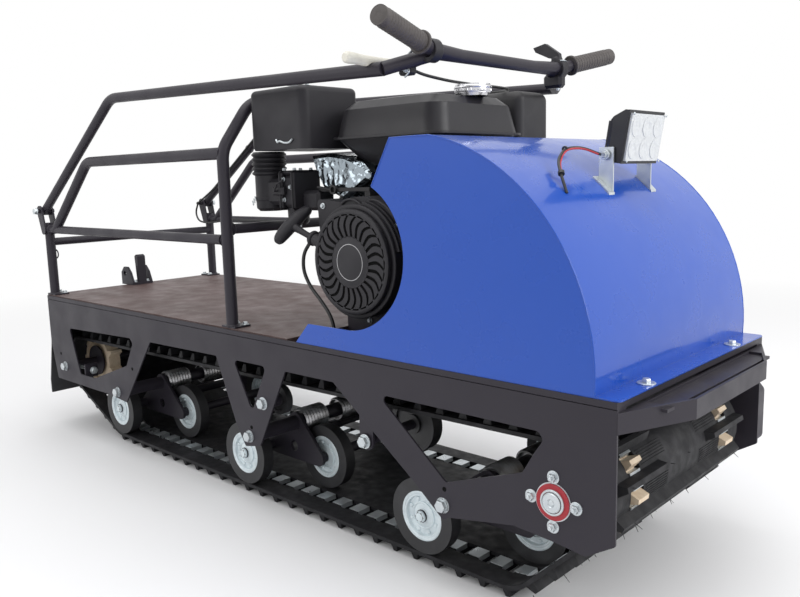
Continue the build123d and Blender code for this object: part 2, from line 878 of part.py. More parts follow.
def governor_arm():
    """A flat arm above the fan housing, with the rod and eye that pull it."""
    x = crank_x
    z = crank_z + 145
    post = box(x - 50, x - 34, -156, case_side_y + 8, crank_z + 124, z)
    arm = box(x - 190, x - 34, -158, -152, z - 8, z)
    eye = ring(x - 140, z - 4, 10, 6, -164, -158)
    tie = rod((x - 150, -161, z - 4), (x - 190, -161, z + 2), 3)
    return post + arm + eye + tie


def cylinder_head():
    """The slanted finned cylinder and the head cover behind it."""
    fins = None
    lean = Location((crank_x - 88, 0, crank_z + 58)) * Rotation(0, -65, 0)
    for index in range(7):
        fin = Pos(0, -15, 6 + index * 12) * Box(120, 190, 5)
        fins = fin if fins is None else fins + fin
    body = fins + Pos(0, -15, 42) * Box(84, 150, 84) + Pos(0, -15, 100) * Box(110, 170, 34)
    body = lean * body
    return (body - engine_block()).solids().sort_by(SortBy.VOLUME)[-1]


def head_shield():
    """A creased bright shield that lies on the head, under the tank."""
    x = crank_x
    outline = make_face(Polyline((x - 225, 797), (x - 163, 801), (x - 112, 794), (x - 62, 776), (x - 41, 757),
                                 (x - 46, 742), (x - 120, 700), (x - 190, 728), (x - 213, 765), close=True))
    body = across(outline, -150, -60)
    body = chamfer(body.faces().sort_by(Axis.Y)[0].edges(), 8)
    body = body - cylinder_head() - engine_block() - fan_shroud()
    return (body - fuel_tank()).solids().sort_by(SortBy.VOLUME)[-1]


def fan_shroud():
    """The fan housing: a drum behind the pull start, and a flat-topped casing beside it."""
    x = crank_x
    body = cross_rod(x, crank_z, shroud_r, shroud_face_y, case_side_y)
    side = make_face(Polyline((x - 150, crank_z + 123), (x - 143, crank_z + 37), (x - 98, crank_z - 102),
                              (x + 97, crank_z - 102), (x + 97, crank_z + 107), (x - 70, crank_z + 115),
                              close=True))
    body += across(fillet(side.vertices(), 10), shroud_face_y + 15, case_side_y)
    return (body - cylinder_head()).solids().sort_by(SortBy.VOLUME)[-1]


def recoil_cover():
    """The pull-start cover, with bent slots round a plain boss."""
    rim_y = shroud_face_y - fit_gap
    body = cross_rod(crank_x, crank_z, recoil_r + 9, rim_y - 25, rim_y)
    body += cross_rod(crank_x, crank_z, recoil_r, recoil_face_y, rim_y - 25)
    bend = ThreePointArc((recoil_r * 0.53, 0), (recoil_r * 0.72, 3), (recoil_r * 0.87, -8))
    for index in range(slot_count):
        turn = Rot(0, 0, index * 360 / slot_count)
        slot = Pos(crank_x, crank_z) * turn * SlotArc(bend, 5)
        body -= across(slot, recoil_face_y - 1, recoil_face_y + 8)
    return body + rod(ROPE_GUIDE[0], ROPE_GUIDE[1], 13)


# The rope guide beside the pull start, from its root to its mouth
ROPE_GUIDE = ((crank_x - 88, -228, crank_z + 26), (crank_x - 139, -228, crank_z + 43))


def starter_grip():
    """A curved T grip across the rope, whose stem stands on the mouth of the rope guide."""
    root, mouth = (Vector(*point) for point in ROPE_GUIDE)
    way = (mouth - root).normalized()
    neck = mouth + way * 58
    reach = Vector(0.14, 0.78, 0.61) * 50
    ends = [neck - reach - way * 12, neck, neck + reach - way * 12]
    return rod(tuple(mouth), tuple(neck), 6) + bent_bar([tuple(end) for end in ends], 11, 60)


def fuel_tank():
    """Two pressed shells on a thin seam, both narrowing away from it."""
    seam_z = tank_bottom + seam_height
    upper = loft([tank_section(seam_z, 0), tank_section(tank_top - 22, 12), tank_section(tank_top - 5, 30),
                  tank_section(tank_top, 62)], ruled=True)
    lower = loft([tank_section(tank_bottom, 46), tank_section(seam_z, 3)], ruled=True)
    seam = extrude(tank_section(seam_z, -6), seam_t)
    return upper + lower + seam


def tank_section(z, inset):
    """The tank's rounded outline at one height."""
    outline = RectangleRounded(tank_length - 2 * inset, tank_width - 2 * inset, 40)
    return Plane((crank_x + 3, -15, z)) * outline


def tank_cap():
    return Location((crank_x + 120, -5, tank_top + 9)) * Cylinder(36, 18)


def air_filter_box():
    """A moulded box with one lower corner cut back."""
    rear = crank_x - 341
    front = crank_x - 154
    top = filter_bottom + filter_height
    outline = make_face(Polyline((rear, filter_bottom + 20), (rear + 20, filter_bottom),
                                 (front, filter_bottom), (front, top), (rear, top), close=True))
    body = across(outline, -225, -60)
    body = fillet(body.edges().filter_by(Axis.Z), 20)
    return fillet(body.faces().sort_by(Axis.Z)[-1].edges(), 12)


def intake():
    """The air box's ribbed boot, the tube below it and the carburettor beside them."""
    x = crank_x
    body = box(x - 394, x - 318, -198, -128, crank_z + 175, filter_bottom)
    for index in range(4):
        z = crank_z + 180 + index * 12
        body += box(x - 398, x - 314, -202, -124, z, z + 6)
    body += cross_down(x - 372, -163, 24, crank_z + 107, crank_z + 175)
    body += box(x - 372, x - 231, -190, -120, crank_z + 117, crank_z + 167)
    body += box(x - 313, x - 231, -190, -120, crank_z + 92, crank_z + 193)
    body += box(x - 240, x - 188, -170, -120, crank_z + 97, crank_z + 137)
    body += cross_rod(x - 192, crank_z + 105, 12, -122, -100)
    return body


def cross_down(x, y, radius, z0, z1):
    """An upright round bar."""
    return rod((x, y, z0), (x, y, z1), radius)


def silencer():
    body = fillet(box(crank_x - 153, crank_x + 137, 139, 255, 800, 925).edges(), 20)
    pipe_z = crank_z + 93
    pipe_x = crank_x - 53
    return body + bent_bar([(pipe_x, 105, pipe_z), (pipe_x, 156, pipe_z), (pipe_x, 156, 802)], 14, 32)


def belt_cover():
    """Closed cover of the belt drive, from the crankshaft to the jackshaft."""
    jack_x = crank_x + 327
    cover = make_hull(
        (Pos(crank_x, crank_z) * Circle(105)).edges() + (Pos(jack_x, crank_z - 59) * Circle(112)).edges()
    )
    body = across(cover, half_width - 122, half_width - 40)
    body -= cross_rod(crank_x, crank_z, 15, half_width - 150, half_width - 60)
    body += box(jack_x - 70, jack_x + 70, half_width - 120, half_width - 50, board_bottom, 480)
    return body


# Hood
def hood_side():
    """The hood from the side, with a round bay for the pull start and a low lobe behind it."""
    crown, waist, foot = hood_arc(0)
    lobe_z = rim_top + hood_lobe
    x = crank_x
    z = crank_z
    edges = [
        Line((x - 122, rim_top), (x - 81, lobe_z)),
        Line((x - 81, lobe_z), (x + 42, lobe_z)),
        ThreePointArc((x + 42, lobe_z), (x + 97, lobe_z + 14), (x + 137, z - 85)),
        ThreePointArc((x + 137, z - 85), (x + 186, z + 18), (x + 111, z + 148)),
        Line((x + 111, z + 148), (x + 160, hood_top_z)),
        Line((x + 160, hood_top_z), crown),
        ThreePointArc(crown, waist, foot),
        Line(foot, (x - 122, rim_top)),
    ]
    return make_face(Wire(edges))


def hood_arc(inset):
    """Top, middle and foot of the front sheet's arc, moved inward by inset."""
    centre_x = hood_front_x - hood_r
    radius = hood_r - inset
    heights = (hood_top_z - inset, hood_centre_z + 0.6 * radius, rim_top)
    return [(centre_x + math.sqrt(radius**2 - (z - hood_centre_z) ** 2), z) for z in heights]


def hood():
    outer = across(hood_side(), -hood_half, hood_half)
    crown, waist, foot = hood_arc(hood_t)
    rear_x = crank_x - 200
    edges = [
        Line((rear_x, hood_top_z - hood_t), crown),
        ThreePointArc(crown, waist, foot),
        Line(foot, (foot[0], rim_top - 5)),
        Line((foot[0], rim_top - 5), (rear_x, rim_top - 5)),
        Line((rear_x, rim_top - 5), (rear_x, hood_top_z - hood_t)),
    ]
    body = outer - across(make_face(Wire(edges)), -hood_half + hood_t, hood_half - hood_t)
    flange = box(hood_front_x - hood_t, frame_length + 3, -hood_half, hood_half, rim_top, rim_top + hood_t)
    return body + fillet(flange.edges().filter_by(Axis.Z).group_by(Axis.X)[-1], 10)


# Lamp
def lamp_place():
    """The lamp's frame: its origin is the middle of the lens' seat, and local x points forward."""
    return Location((lamp_x, lamp_y, lamp_z)) * Rotation(0, lamp_lean, 0)


def lamp_pivot():
    """The x and z of the tilting pin."""
    place = lamp_place() * Pos(-lamp_pin_back, 0, -lamp_pin_below)
    return place.position.X, place.position.Z


def lamp():
    """The lamp's housing, which narrows to its back, with the pin that it tilts on."""
    half_h = lamp_half_h
    outline = make_face(Polyline((0, half_h), (-8, half_h), (-lamp_depth, half_h - 20),
                                 (-lamp_depth, 6 - half_h), (6 - lamp_depth, -half_h), (0, -half_h),
                                 close=True))
    body = across(outline, -lamp_half_w, lamp_half_w)
    body = chamfer(body.faces().sort_by(Axis.X)[0].edges().filter_by(Axis.Z), 10)
    body += cross_rod(-lamp_pin_back, -lamp_pin_below, 5, -lamp_half_w - 10, lamp_half_w + 10)
    return lamp_place() * body


def lamp_lens():
    half_w = lamp_half_w - 5
    half_h = lamp_half_h - 5
    return lamp_place() * box(0, 4, -half_w, half_w, -half_h, half_h)


def lamp_ear(side):
    """A bent steel ear beside the lamp, with its foot on the hood's sheet."""
    x, z = lamp_pivot()
    y = lamp_y + side * (lamp_half_w + 3)
    ear_y = sorted((y, y + side * 3))
    foot_y = sorted((y, y + side * 20))
    plate = box(x - 14, x + 14, ear_y[0], ear_y[1], hood_centre_z + 200, z + 13)
    shell = cross_rod(hood_front_x - hood_r, hood_centre_z, hood_r + 3, foot_y[0], foot_y[1])
    foot = shell & box(x - 16, x + 16, foot_y[0], foot_y[1], hood_centre_z + 200, z)
    body = plate + foot - cross_rod(x, z, 5.1, y - 30, y + 30)
    return (body - across(hood_side(), -hood_half, hood_half)).solids().sort_by(SortBy.VOLUME)[-1]


# Cables and the lamp's lead
def smooth_tube(points, radius):
    """A cable's tube: each bend is as wide as its two runs allow."""
    path_points = [Vector(*point) for point in points]
    radii = []
    for before, here, after in zip(path_points, path_points[1:], path_points[2:]):
        run = min((here - before).length, (after - here).length)
        half_turn = math.radians((here - before).get_angle(after - here)) / 2
        radii.append(0.45 * run / math.tan(half_turn))
    path = FilletPolyline(*points, radius=radii)
    start = Plane(origin=path @ 0, z_dir=path % 0)
    print("cable bends", [round(bend) for bend in radii], "length", round(path.length))
    return sweep(start * Circle(radius), path=path)


def cable_joint():
    """Where the cable crosses the fold axis: beside the inner end of the left arm's pin."""
    return fold_x, cage_y - arm_r - pin_overhang - cable_ball_r, fold_z


def handle_cable():
    """The brake cable: it hangs below the bar, lies along the left arm and ends by the fold axis."""
    y = cage_y - arm_r - cable_r + cable_press
    x0, y0, z0 = cable_joint()
    run = math.hypot(elbow_x - fold_x, elbow_z - fold_z)
    along_x = (elbow_x - fold_x) / run
    along_z = (elbow_z - fold_z) / run
    clear = cable_ball_r + fit_gap
    points = [
        (bar_x - 60, -212, bar_z - 18), (bar_x - 68, -156, bar_z - 28), (bar_x - 80, -60, bar_z - 33),
        (bar_x - 86, 40, bar_z - 34), (bar_x - 96, 130, bar_z - 32), (bar_x - 116, 200, bar_z - 30),
        (bar_x - 160, 248, bar_z - 28), (bar_x - 230, y, arm_end_z + 5), (elbow_x, y, elbow_z),
        (fold_x + 80 * along_x, y, fold_z + 80 * along_z), (x0 + clear * along_x, y0, z0 + clear * along_z),
    ]
    return smooth_tube(points, cable_r) - brake_lever() - handle_arm(1)


def cable_tail():
    """The cable's other half: a slack loop below the hinge, then a run along the left rail."""
    x0, y0, z0 = cable_joint()
    y = cage_y - rail_r - cable_r + cable_press
    low = hoop_bar_z - rail_r - cable_r - 1.3
    points = [
        (x0, y0, z0), (x0 - 14, y0 - 3, z0 - 32), (x0 + 6, y0 - 6, z0 - 60), (x0 + 52, y0 - 4, z0 - 68),
        (x0 + 112, y0 + 4, z0 - 62), (x0 + 180, y - 3, rail_z + 2), (x0 + 250, y, rail_z),
        (hoop_x - 130, y, rail_z),
        (hoop_x - 62, y - 8, rail_z + 5), (hoop_x - 10, y - 34, low), (hoop_x + 46, y - 74, low - 1),
        (hoop_x + 104, y - 112, low + 1), (crank_x - 200, y - 150, low + 4), (crank_x - 90, y - 176, low + 2),
    ]
    ball = Pos(x0, y0, z0) * Sphere(cable_ball_r)
    body = smooth_tube(points, cable_r) + ball - cage_side(1) - cylinder_head() - engine_block()
    return body.solids().sort_by(SortBy.VOLUME)[-1]


def lamp_wire():
    """The lamp's lead, from the tilting pin's line down to a hole in the hood."""
    x, z = lamp_pivot()
    y = lamp_y - lamp_half_w - 24
    points = [(x, y, z), (x - 26, y - 22, z + 14), (x - 38, y - 56, z + 12), (x - 30, y - 92, z - 8),
              (x - 8, y - 118, z - 30), (x + 10, y - 128, z - 62)]
    body = smooth_tube(points, wire_r) - lamp_ear(-1) - hood()
    return body.solids().sort_by(SortBy.VOLUME)[-1]


def breather_hose():
    """A thin hose that bows out beside the engine."""
    x = crank_x
    foot_z = board_bottom + 1
    points = [(x - 138, -190, 640), (x - 182, -190, 618), (x - 214, -190, 584), (x - 217, -190, 546),
              (x - 196, -190, 512), (x - 160, -190, 482), (x - 129, -190, 450), (x - 119, -190, foot_z)]
    body = smooth_tube(points, hose_r) - engine_block() - fan_shroud() - hood()
    return body.solids().sort_by(SortBy.VOLUME)[-1]


# Controls on the handlebar
def clamp_on_bar(side):
    """A short clamp round the bar, inboard of the grip."""
    y0, y1 = sorted((side * 200, side * 222))
    return rod((bar_x + 3, y0, bar_z + 2), (bar_x + 3, y1, bar_z + 2), 20)


def brake_lever():
    """The right-hand lever: a clamp, an arm to the rear and a blade beside the grip."""
    body = clamp_on_bar(-1)
    body += rod((bar_x - 8, -211, bar_z - 4), (bar_x - 62, -216, bar_z - 14), 8)
    body += bent_bar([(bar_x - 60, -212, bar_z - 14), (bar_x - 92, -240, bar_z - 6),
                      (bar_x - 98, -345, bar_z + 2)], 6, 20)
    body += Pos(bar_x - 98, -345, bar_z + 2) * Sphere(9)
    return (body - handlebar()).solids().sort_by(SortBy.VOLUME)[-1]


def throttle_lever():
    """The left-hand thumb lever on its clamp."""
    body = clamp_on_bar(1)
    body += rod((bar_x, 211, bar_z + 12), (bar_x, 211, bar_z + 34), 9)
    blade = make_face(Polyline((bar_x + 8, bar_z + 30), (bar_x + 4, bar_z + 44), (bar_x - 68, bar_z + 66),
                               (bar_x - 70, bar_z + 52), close=True))
    body += across(blade, 206, 216)
    return (body - handlebar()).solids().sort_by(SortBy.VOLUME)[-1]


right_plate = side_plate()
save("side_plate_right", right_plate)
save("side_plate_left", left_of(right_plate))
save("deck_pan", deck_pan())
save("deck_board", deck_board())
save("front_bumper", bumper())
save("rear_flap", rear_flap())
save("tow_hitch", tow_hitch())
save("chain_case", chain_case())
save("cage_rear", cage_rear())
save("cage_side_right", cage_side(-1))
save("cage_side_left", cage_side(1))
save("front_hoop", front_hoop())
save("track", track())
save("drive_axle", drive_axle())
save("bearing_housings", bearing_housing(), left_of(bearing_housing()))
save("bearing_seals", bearing_seal(), left_of(bearing_seal()))
save("drive_sprockets", *[sprocket(front_axle_x, front_axle_z, side * row_y) for side in (-1, 1)])
save("rear_sprockets", *[sprocket(rear_axle_x, rear_axle_z, side * row_y) for side in (-1, 1)])
save("rear_axle", rear_axle())
save("road_tyres", *[tyre(x, y) for x, y in wheel_places()])
save("road_hubs", *[hub(x, y) for x, y in wheel_places()])
for name in BOGIES:
    save(f"rocker_{name}", rocker(name))
save("torsion_springs", *[
    spring(bogie[0], bogie[1], side * spring_y)
    for bogie in BOGIES.values() for side in (-1, 0, 1)
])
save("support_wheels", *[support_wheel(side * support_y) for side in (-1, 1)],
     *[edge_roller(side) for side in (-1, 1)])
save("support_axle", support_axle(), *[roller_stub(side) for side in (-1, 1)])
save("handle_arm_right", handle_arm(-1))
save("handle_arm_left", handle_arm(1))
save("handlebar", handlebar())
save("grips", grip(-1), grip(1))
save("engine_rails", engine_rails())
save("engine_block", engine_block())
save("cylinder_head", cylinder_head())
save("head_shield", head_shield())
save("fan_shroud", fan_shroud())
save("recoil_cover", recoil_cover())
save("starter_grip", starter_grip())
save("fuel_tank", fuel_tank())
save("tank_cap", tank_cap())
save("air_filter_box", air_filter_box())
save("intake", intake())
save("silencer", silencer())
save("belt_cover", belt_cover())
save("hood", hood())
save("lamp", lamp())
save("lamp_lens", lamp_lens())
save("lamp_bracket", lamp_ear(-1), lamp_ear(1))
save("control_levers", brake_lever(), throttle_lever())
save("handle_cable", handle_cable())
save("cable_tail", cable_tail())
save("lamp_wire", lamp_wire())
save("breather_hose", breather_hose())
print("rear axle x", round(rear_axle_x, 2), "origin x", origin_x)
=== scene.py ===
import bpy
import bmesh
import math
from mathutils import Matrix, Vector


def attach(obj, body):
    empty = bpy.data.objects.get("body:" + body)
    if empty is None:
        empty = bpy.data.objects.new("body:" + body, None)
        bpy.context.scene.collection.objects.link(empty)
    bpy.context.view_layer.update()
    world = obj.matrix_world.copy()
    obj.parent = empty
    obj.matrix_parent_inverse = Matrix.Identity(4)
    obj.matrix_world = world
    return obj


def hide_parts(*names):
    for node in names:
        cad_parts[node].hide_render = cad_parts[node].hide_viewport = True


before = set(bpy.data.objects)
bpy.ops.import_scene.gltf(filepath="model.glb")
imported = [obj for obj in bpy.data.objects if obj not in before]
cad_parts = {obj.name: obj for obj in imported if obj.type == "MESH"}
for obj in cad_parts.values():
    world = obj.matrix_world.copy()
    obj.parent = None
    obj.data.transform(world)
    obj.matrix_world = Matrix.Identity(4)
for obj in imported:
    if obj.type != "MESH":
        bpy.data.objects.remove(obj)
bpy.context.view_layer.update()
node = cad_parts

# The view. A hand-held camera stands off the right front corner at chest height
# and looks down a little, with its long side almost level.
CAMERA_PLACE = Vector((1.4826, -1.3305, 0.7495))
CAMERA_YAW = math.radians(133.038)
CAMERA_DROP = math.radians(8.787)
CAMERA_ROLL = math.radians(-1.507)
PHOTO_WIDTH = 800.0
FOCAL_PIXELS = 796.0

ahead = Vector((math.cos(CAMERA_DROP) * math.cos(CAMERA_YAW),
                math.cos(CAMERA_DROP) * math.sin(CAMERA_YAW),
                -math.sin(CAMERA_DROP)))
level_right = Vector((math.sin(CAMERA_YAW), -math.cos(CAMERA_YAW), 0.0))
level_up = level_right.cross(ahead)
camera_right = math.cos(CAMERA_ROLL) * level_right + math.sin(CAMERA_ROLL) * level_up
camera_up = math.cos(CAMERA_ROLL) * level_up - math.sin(CAMERA_ROLL) * level_right
camera = bpy.data.objects.new("camera", bpy.data.cameras.new("camera"))
camera.matrix_world = Matrix.Translation(CAMERA_PLACE) @ Matrix(
    (camera_right, camera_up, -ahead)).transposed().to_4x4()
camera.data.sensor_width = 36.0
camera.data.lens = FOCAL_PIXELS * camera.data.sensor_width / PHOTO_WIDTH
camera.data.clip_start = 0.05
camera.data.clip_end = 60.0
bpy.context.scene.collection.objects.link(camera)
bpy.context.scene.camera = camera
bpy.context.scene.view_settings.view_transform = "Standard"

# The studio. A pale floor that fades into a white room round it, and three large soft
# lamps: one overhead, a weak one from the camera's left and one from the right.
FLOOR_HALF = 30.0
FLOOR_COLOUR = (0.86, 0.86, 0.87)
FLOOR_NEAR, FLOOR_FAR = 1.3, 4.2
ROOM_LIGHT = 0.74
LAMPS = (
    # name, place, aims at, width, height, watts
    ("lamp_overhead", (0.3, -0.4, 3.6), (0.0, 0.0, 0.4), 3.6, 3.0, 62.0),
    ("lamp_left", (-1.6, -3.6, 2.2), (0.0, 0.0, 0.4), 2.6, 2.2, 30.0),
    ("lamp_right", (3.8, 0.9, 2.0), (0.3, 0.0, 0.5), 2.4, 2.0, 74.0),
)


def shows_background(tree):
    """1 for the rays that see the background: camera, mirrored and refracted ones."""
    path = tree.nodes.new("ShaderNodeLightPath")
    seen = path.outputs["Is Camera Ray"]
    for kind in ("Is Glossy Ray", "Is Transmission Ray"):
        either = tree.nodes.new("ShaderNodeMath")
        either.operation = "MAXIMUM"
        tree.links.new(seen, either.inputs[0])
        tree.links.new(path.outputs[kind], either.inputs[1])
        seen = either.outputs[0]
    return seen


floor_mesh = bpy.data.meshes.new("floor")
shape = bmesh.new()
bmesh.ops.create_grid(shape, x_segments=1, y_segments=1, size=FLOOR_HALF)
shape.to_mesh(floor_mesh)
shape.free()
floor = bpy.data.objects.new("floor", floor_mesh)
bpy.context.scene.collection.objects.link(floor)
floor_paint = bpy.data.materials.new("floor_paint")
floor_paint.use_nodes = True
tree = floor_paint.node_tree
floor_shader = tree.nodes["Principled BSDF"]
floor_shader.inputs["Base Color"].default_value = (*FLOOR_COLOUR, 1.0)
floor_shader.inputs["Roughness"].default_value = 0.85
reach = tree.nodes.new("ShaderNodeVectorMath")
reach.operation = "LENGTH"
tree.links.new(tree.nodes.new("ShaderNodeTexCoord").outputs["Object"], reach.inputs[0])
fade = tree.nodes.new("ShaderNodeMapRange")
fade.inputs["From Min"].default_value = FLOOR_NEAR
fade.inputs["From Max"].default_value = FLOOR_FAR
tree.links.new(reach.outputs["Value"], fade.inputs["Value"])
share = tree.nodes.new("ShaderNodeMath")
share.operation = "MULTIPLY"
tree.links.new(fade.outputs["Result"], share.inputs[0])
tree.links.new(shows_background(tree), share.inputs[1])
blend = tree.nodes.new("ShaderNodeMixShader")
tree.links.new(share.outputs[0], blend.inputs[0])
tree.links.new(floor_shader.outputs["BSDF"], blend.inputs[1])
tree.links.new(tree.nodes.new("ShaderNodeEmission").outputs["Emission"], blend.inputs[2])
tree.links.new(blend.outputs["Shader"], tree.nodes["Material Output"].inputs["Surface"])
floor_mesh.materials.append(floor_paint)

room = bpy.data.worlds.new("room")
bpy.context.scene.world = room
room.use_nodes = True
tree = room.node_tree
strength = tree.nodes.new("ShaderNodeMapRange")
strength.inputs["To Min"].default_value = ROOM_LIGHT
strength.inputs["To Max"].default_value = 1.0
tree.links.new(shows_background(tree), strength.inputs["Value"])
background = tree.nodes["Background"]
background.inputs["Color"].default_value = (1.0, 1.0, 1.0, 1.0)
tree.links.new(strength.outputs["Result"], background.inputs["Strength"])

for name, place, aim, width, height, watts in LAMPS:
    light = bpy.data.lights.new(name, "AREA")
    light.shape = "RECTANGLE"
    light.size = width
    light.size_y = height
    light.energy = watts
    stand = bpy.data.objects.new(name, light)
    stand.location = place
    stand.rotation_euler = (Vector(aim) - Vector(place)).to_track_quat("-Z", "Y").to_euler()
    bpy.context.scene.collection.objects.link(stand)

# The welded frame, cage and handle. Folded and laser-cut steel plate and round tube,
# powder coated in a satin black that shows a fine orange peel and some dust on top.
COAT_BLACK = (0.025, 0.022, 0.030)
COAT_DUSTY = (0.038, 0.035, 0.041)


class Finish:
    """A material that is built up layer by layer on the piece's own coordinates."""

    def __init__(self, name, colour, roughness, metallic=0.0):
        self.material = bpy.data.materials.new(name)
        self.material.use_nodes = True
        self.nodes = self.material.node_tree.nodes
        self.links = self.material.node_tree.links
        self.shader = self.nodes["Principled BSDF"]
        self.place = self.nodes.new("ShaderNodeTexCoord").outputs["Object"]
        self.shader.inputs["Base Color"].default_value = (*colour, 1.0)
        self.shader.inputs["Roughness"].default_value = roughness
        self.shader.inputs["Metallic"].default_value = metallic
        self.colour = None
        self.base = (*colour, 1.0)
        self.height = None

    def set(self, **sockets):
        for key, value in sockets.items():
            self.shader.inputs[key.replace("_", " ")].default_value = value
        return self

    def grain(self, scale, detail=2.0, stretch=(1.0, 1.0, 1.0), kind="noise"):
        """A pattern from 0 to 1, with scale in features to the metre."""
        place = self.place
        if stretch != (1.0, 1.0, 1.0):
            mapping = self.nodes.new("ShaderNodeMapping")
            mapping.inputs["Scale"].default_value = stretch
            self.links.new(place, mapping.inputs["Vector"])
            place = mapping.outputs["Vector"]
        if kind == "noise":
            texture = self.nodes.new("ShaderNodeTexNoise")
            texture.inputs["Detail"].default_value = detail
            out = texture.outputs["Fac"]
        elif kind == "cells":
            texture = self.nodes.new("ShaderNodeTexVoronoi")
            out = texture.outputs["Distance"]
        elif kind == "bands":
            texture = self.nodes.new("ShaderNodeTexWave")
            texture.inputs["Distortion"].default_value = 0.0
            out = texture.outputs["Fac"]
        texture.inputs["Scale"].default_value = scale
        self.links.new(place, texture.inputs["Vector"])
        return out

    def ramp(self, value, low, high, start=0.0, end=1.0):
        """The value stretched from low..high to start..end, and held there."""
        spread = self.nodes.new("ShaderNodeMapRange")
        spread.inputs["From Min"].default_value = low
        spread.inputs["From Max"].default_value = high
        spread.inputs["To Min"].default_value = start
        spread.inputs["To Max"].default_value = end
        self.links.new(value, spread.inputs["Value"])
        return spread.outputs["Result"]

    def times(self, first, second):
        product = self.nodes.new("ShaderNodeMath")
        product.operation = "MULTIPLY"
        self.links.new(first, product.inputs[0])
        self.links.new(second, product.inputs[1])
        return product.outputs[0]

    def upward(self, low=0.35, high=0.95, most=1.0):
        """1 on faces that look up and 0 on the rest."""
        split = self.nodes.new("ShaderNodeSeparateXYZ")
        self.links.new(self.nodes.new("ShaderNodeNewGeometry").outputs["Normal"], split.inputs[0])
        return self.ramp(split.outputs["Z"], low, high, 0.0, most)

    def tint(self, mask, colour):
        """Lays another colour over what is there, as thick as the mask."""
        mix = self.nodes.new("ShaderNodeMix")
        mix.data_type = "RGBA"
        if self.colour is None:
            mix.inputs[6].default_value = self.base
        else:
            self.links.new(self.colour, mix.inputs[6])
        mix.inputs[7].default_value = (*colour, 1.0)
        self.links.new(mask, mix.inputs[0])
        self.colour = mix.outputs[2]
        self.links.new(self.colour, self.shader.inputs["Base Color"])
        return self

    def roughen(self, value):
        self.links.new(value, self.shader.inputs["Roughness"])
        return self

    def bump(self, value, depth, strength=1.0):
        """Raises the surface by up to depth metres where the value is high."""
        layer = self.nodes.new("ShaderNodeBump")
        layer.inputs["Distance"].default_value = depth
        layer.inputs["Strength"].default_value = strength
        self.links.new(value, layer.inputs["Height"])
        if self.height is not None:
            self.links.new(self.height, layer.inputs["Normal"])
        self.height = layer.outputs["Normal"]
        self.links.new(self.height, self.shader.inputs["Normal"])
        return self

    def soft_edges(self, radius):
        """Rounds the shading of sharp edges. It comes before any bump."""
        edge = self.nodes.new("ShaderNodeBevel")
        edge.samples = 4
        edge.inputs["Radius"].default_value = radius
        self.height = edge.outputs["Normal"]
        self.links.new(self.height, self.shader.inputs["Normal"])
        return self


def dress(finish, *names):
    for name in names:
        mesh = node[name].data
        mesh.materials.clear()
        mesh.materials.append(finish.material)


coat = Finish("satin_black_coat", COAT_BLACK, 0.42)
coat.soft_edges(0.0009).set(Specular_IOR_Level=0.28)
coat.tint(coat.times(coat.upward(), coat.ramp(coat.grain(9.0, 6.0), 0.35, 0.7)), COAT_DUSTY)
coat.roughen(coat.ramp(coat.grain(14.0, 4.0), 0.3, 0.7, 0.34, 0.52))
coat.bump(coat.grain(620.0), 0.00012)
dress(coat, "side_plate_right", "side_plate_left", "deck_pan", "front_bumper", "chain_case",
      "tow_hitch", "cage_rear", "cage_side_right", "cage_side_left", "front_hoop",
      "handle_arm_right", "handle_arm_left", "handlebar", "engine_rails",
      "rocker_rear", "rocker_middle", "rocker_front", "rear_axle", "support_axle")

# The deck board. Film-faced plywood, dark brown with a pressed wire pattern on top,
# cut to the pan and lying in it.
BOARD_BROWN = (0.078, 0.047, 0.043)
BOARD_WORN = (0.130, 0.092, 0.089)
board = Finish("film_faced_board", BOARD_BROWN, 0.5)
board.soft_edges(0.0006).set(Specular_IOR_Level=0.35)
board.tint(board.ramp(board.grain(7.0, 8.0), 0.42, 0.72), BOARD_WORN)
board.roughen(board.ramp(board.grain(22.0, 4.0), 0.3, 0.7, 0.42, 0.62))
board.bump(board.grain(190.0, kind="cells"), 0.0005)
dress(board, "deck_board")

# The belt. Black rubber moulded in one piece over cloth, with its lugs on the outer face,
# dusted grey on the lugs and dull between them.
RUBBER_BLACK = (0.013, 0.013, 0.015)
RUBBER_DUSTY = (0.046, 0.045, 0.050)
belt_rubber = Finish("track_rubber", RUBBER_BLACK, 0.62)
belt_rubber.soft_edges(0.0012).set(Specular_IOR_Level=0.28)
belt_rubber.tint(belt_rubber.ramp(belt_rubber.grain(26.0, 6.0), 0.5, 0.85, 0.0, 0.8), RUBBER_DUSTY)
belt_rubber.roughen(belt_rubber.ramp(belt_rubber.grain(40.0, 3.0), 0.3, 0.7, 0.5, 0.75))
belt_rubber.bump(belt_rubber.grain(420.0, 3.0), 0.0003)
dress(belt_rubber, "track")

# The rear flap's rubber. A sheet with a woven face, cut to size and bolted to the frame, a
# little dusty where the snow and grit strike it.
FLAP_BLACK = (0.028, 0.028, 0.031)
flap_rubber = Finish("flap_rubber", FLAP_BLACK, 0.6)
flap_rubber.tint(flap_rubber.ramp(flap_rubber.grain(12.0, 6.0), 0.45, 0.8, 0.0, 0.7), RUBBER_DUSTY)
flap_rubber.bump(flap_rubber.grain(240.0, kind="bands"), 0.0002)
dress(flap_rubber, "rear_flap")

# The road wheels and support wheels. Smooth black rubber tyres on pressed, zinc-plated discs;
# the axle and springs behind them are bare steel, stained by the wet.
TYRE_BLACK = (0.018, 0.018, 0.02)
tyre_rubber = Finish("tyre_rubber", TYRE_BLACK, 0.5)
tyre_rubber.tint(tyre_rubber.ramp(tyre_rubber.grain(30.0, 6.0), 0.5, 0.8, 0.0, 0.5), RUBBER_DUSTY)
tyre_rubber.bump(tyre_rubber.grain(500.0, 3.0), 0.00015)
dress(tyre_rubber, "road_tyres", "support_wheels")

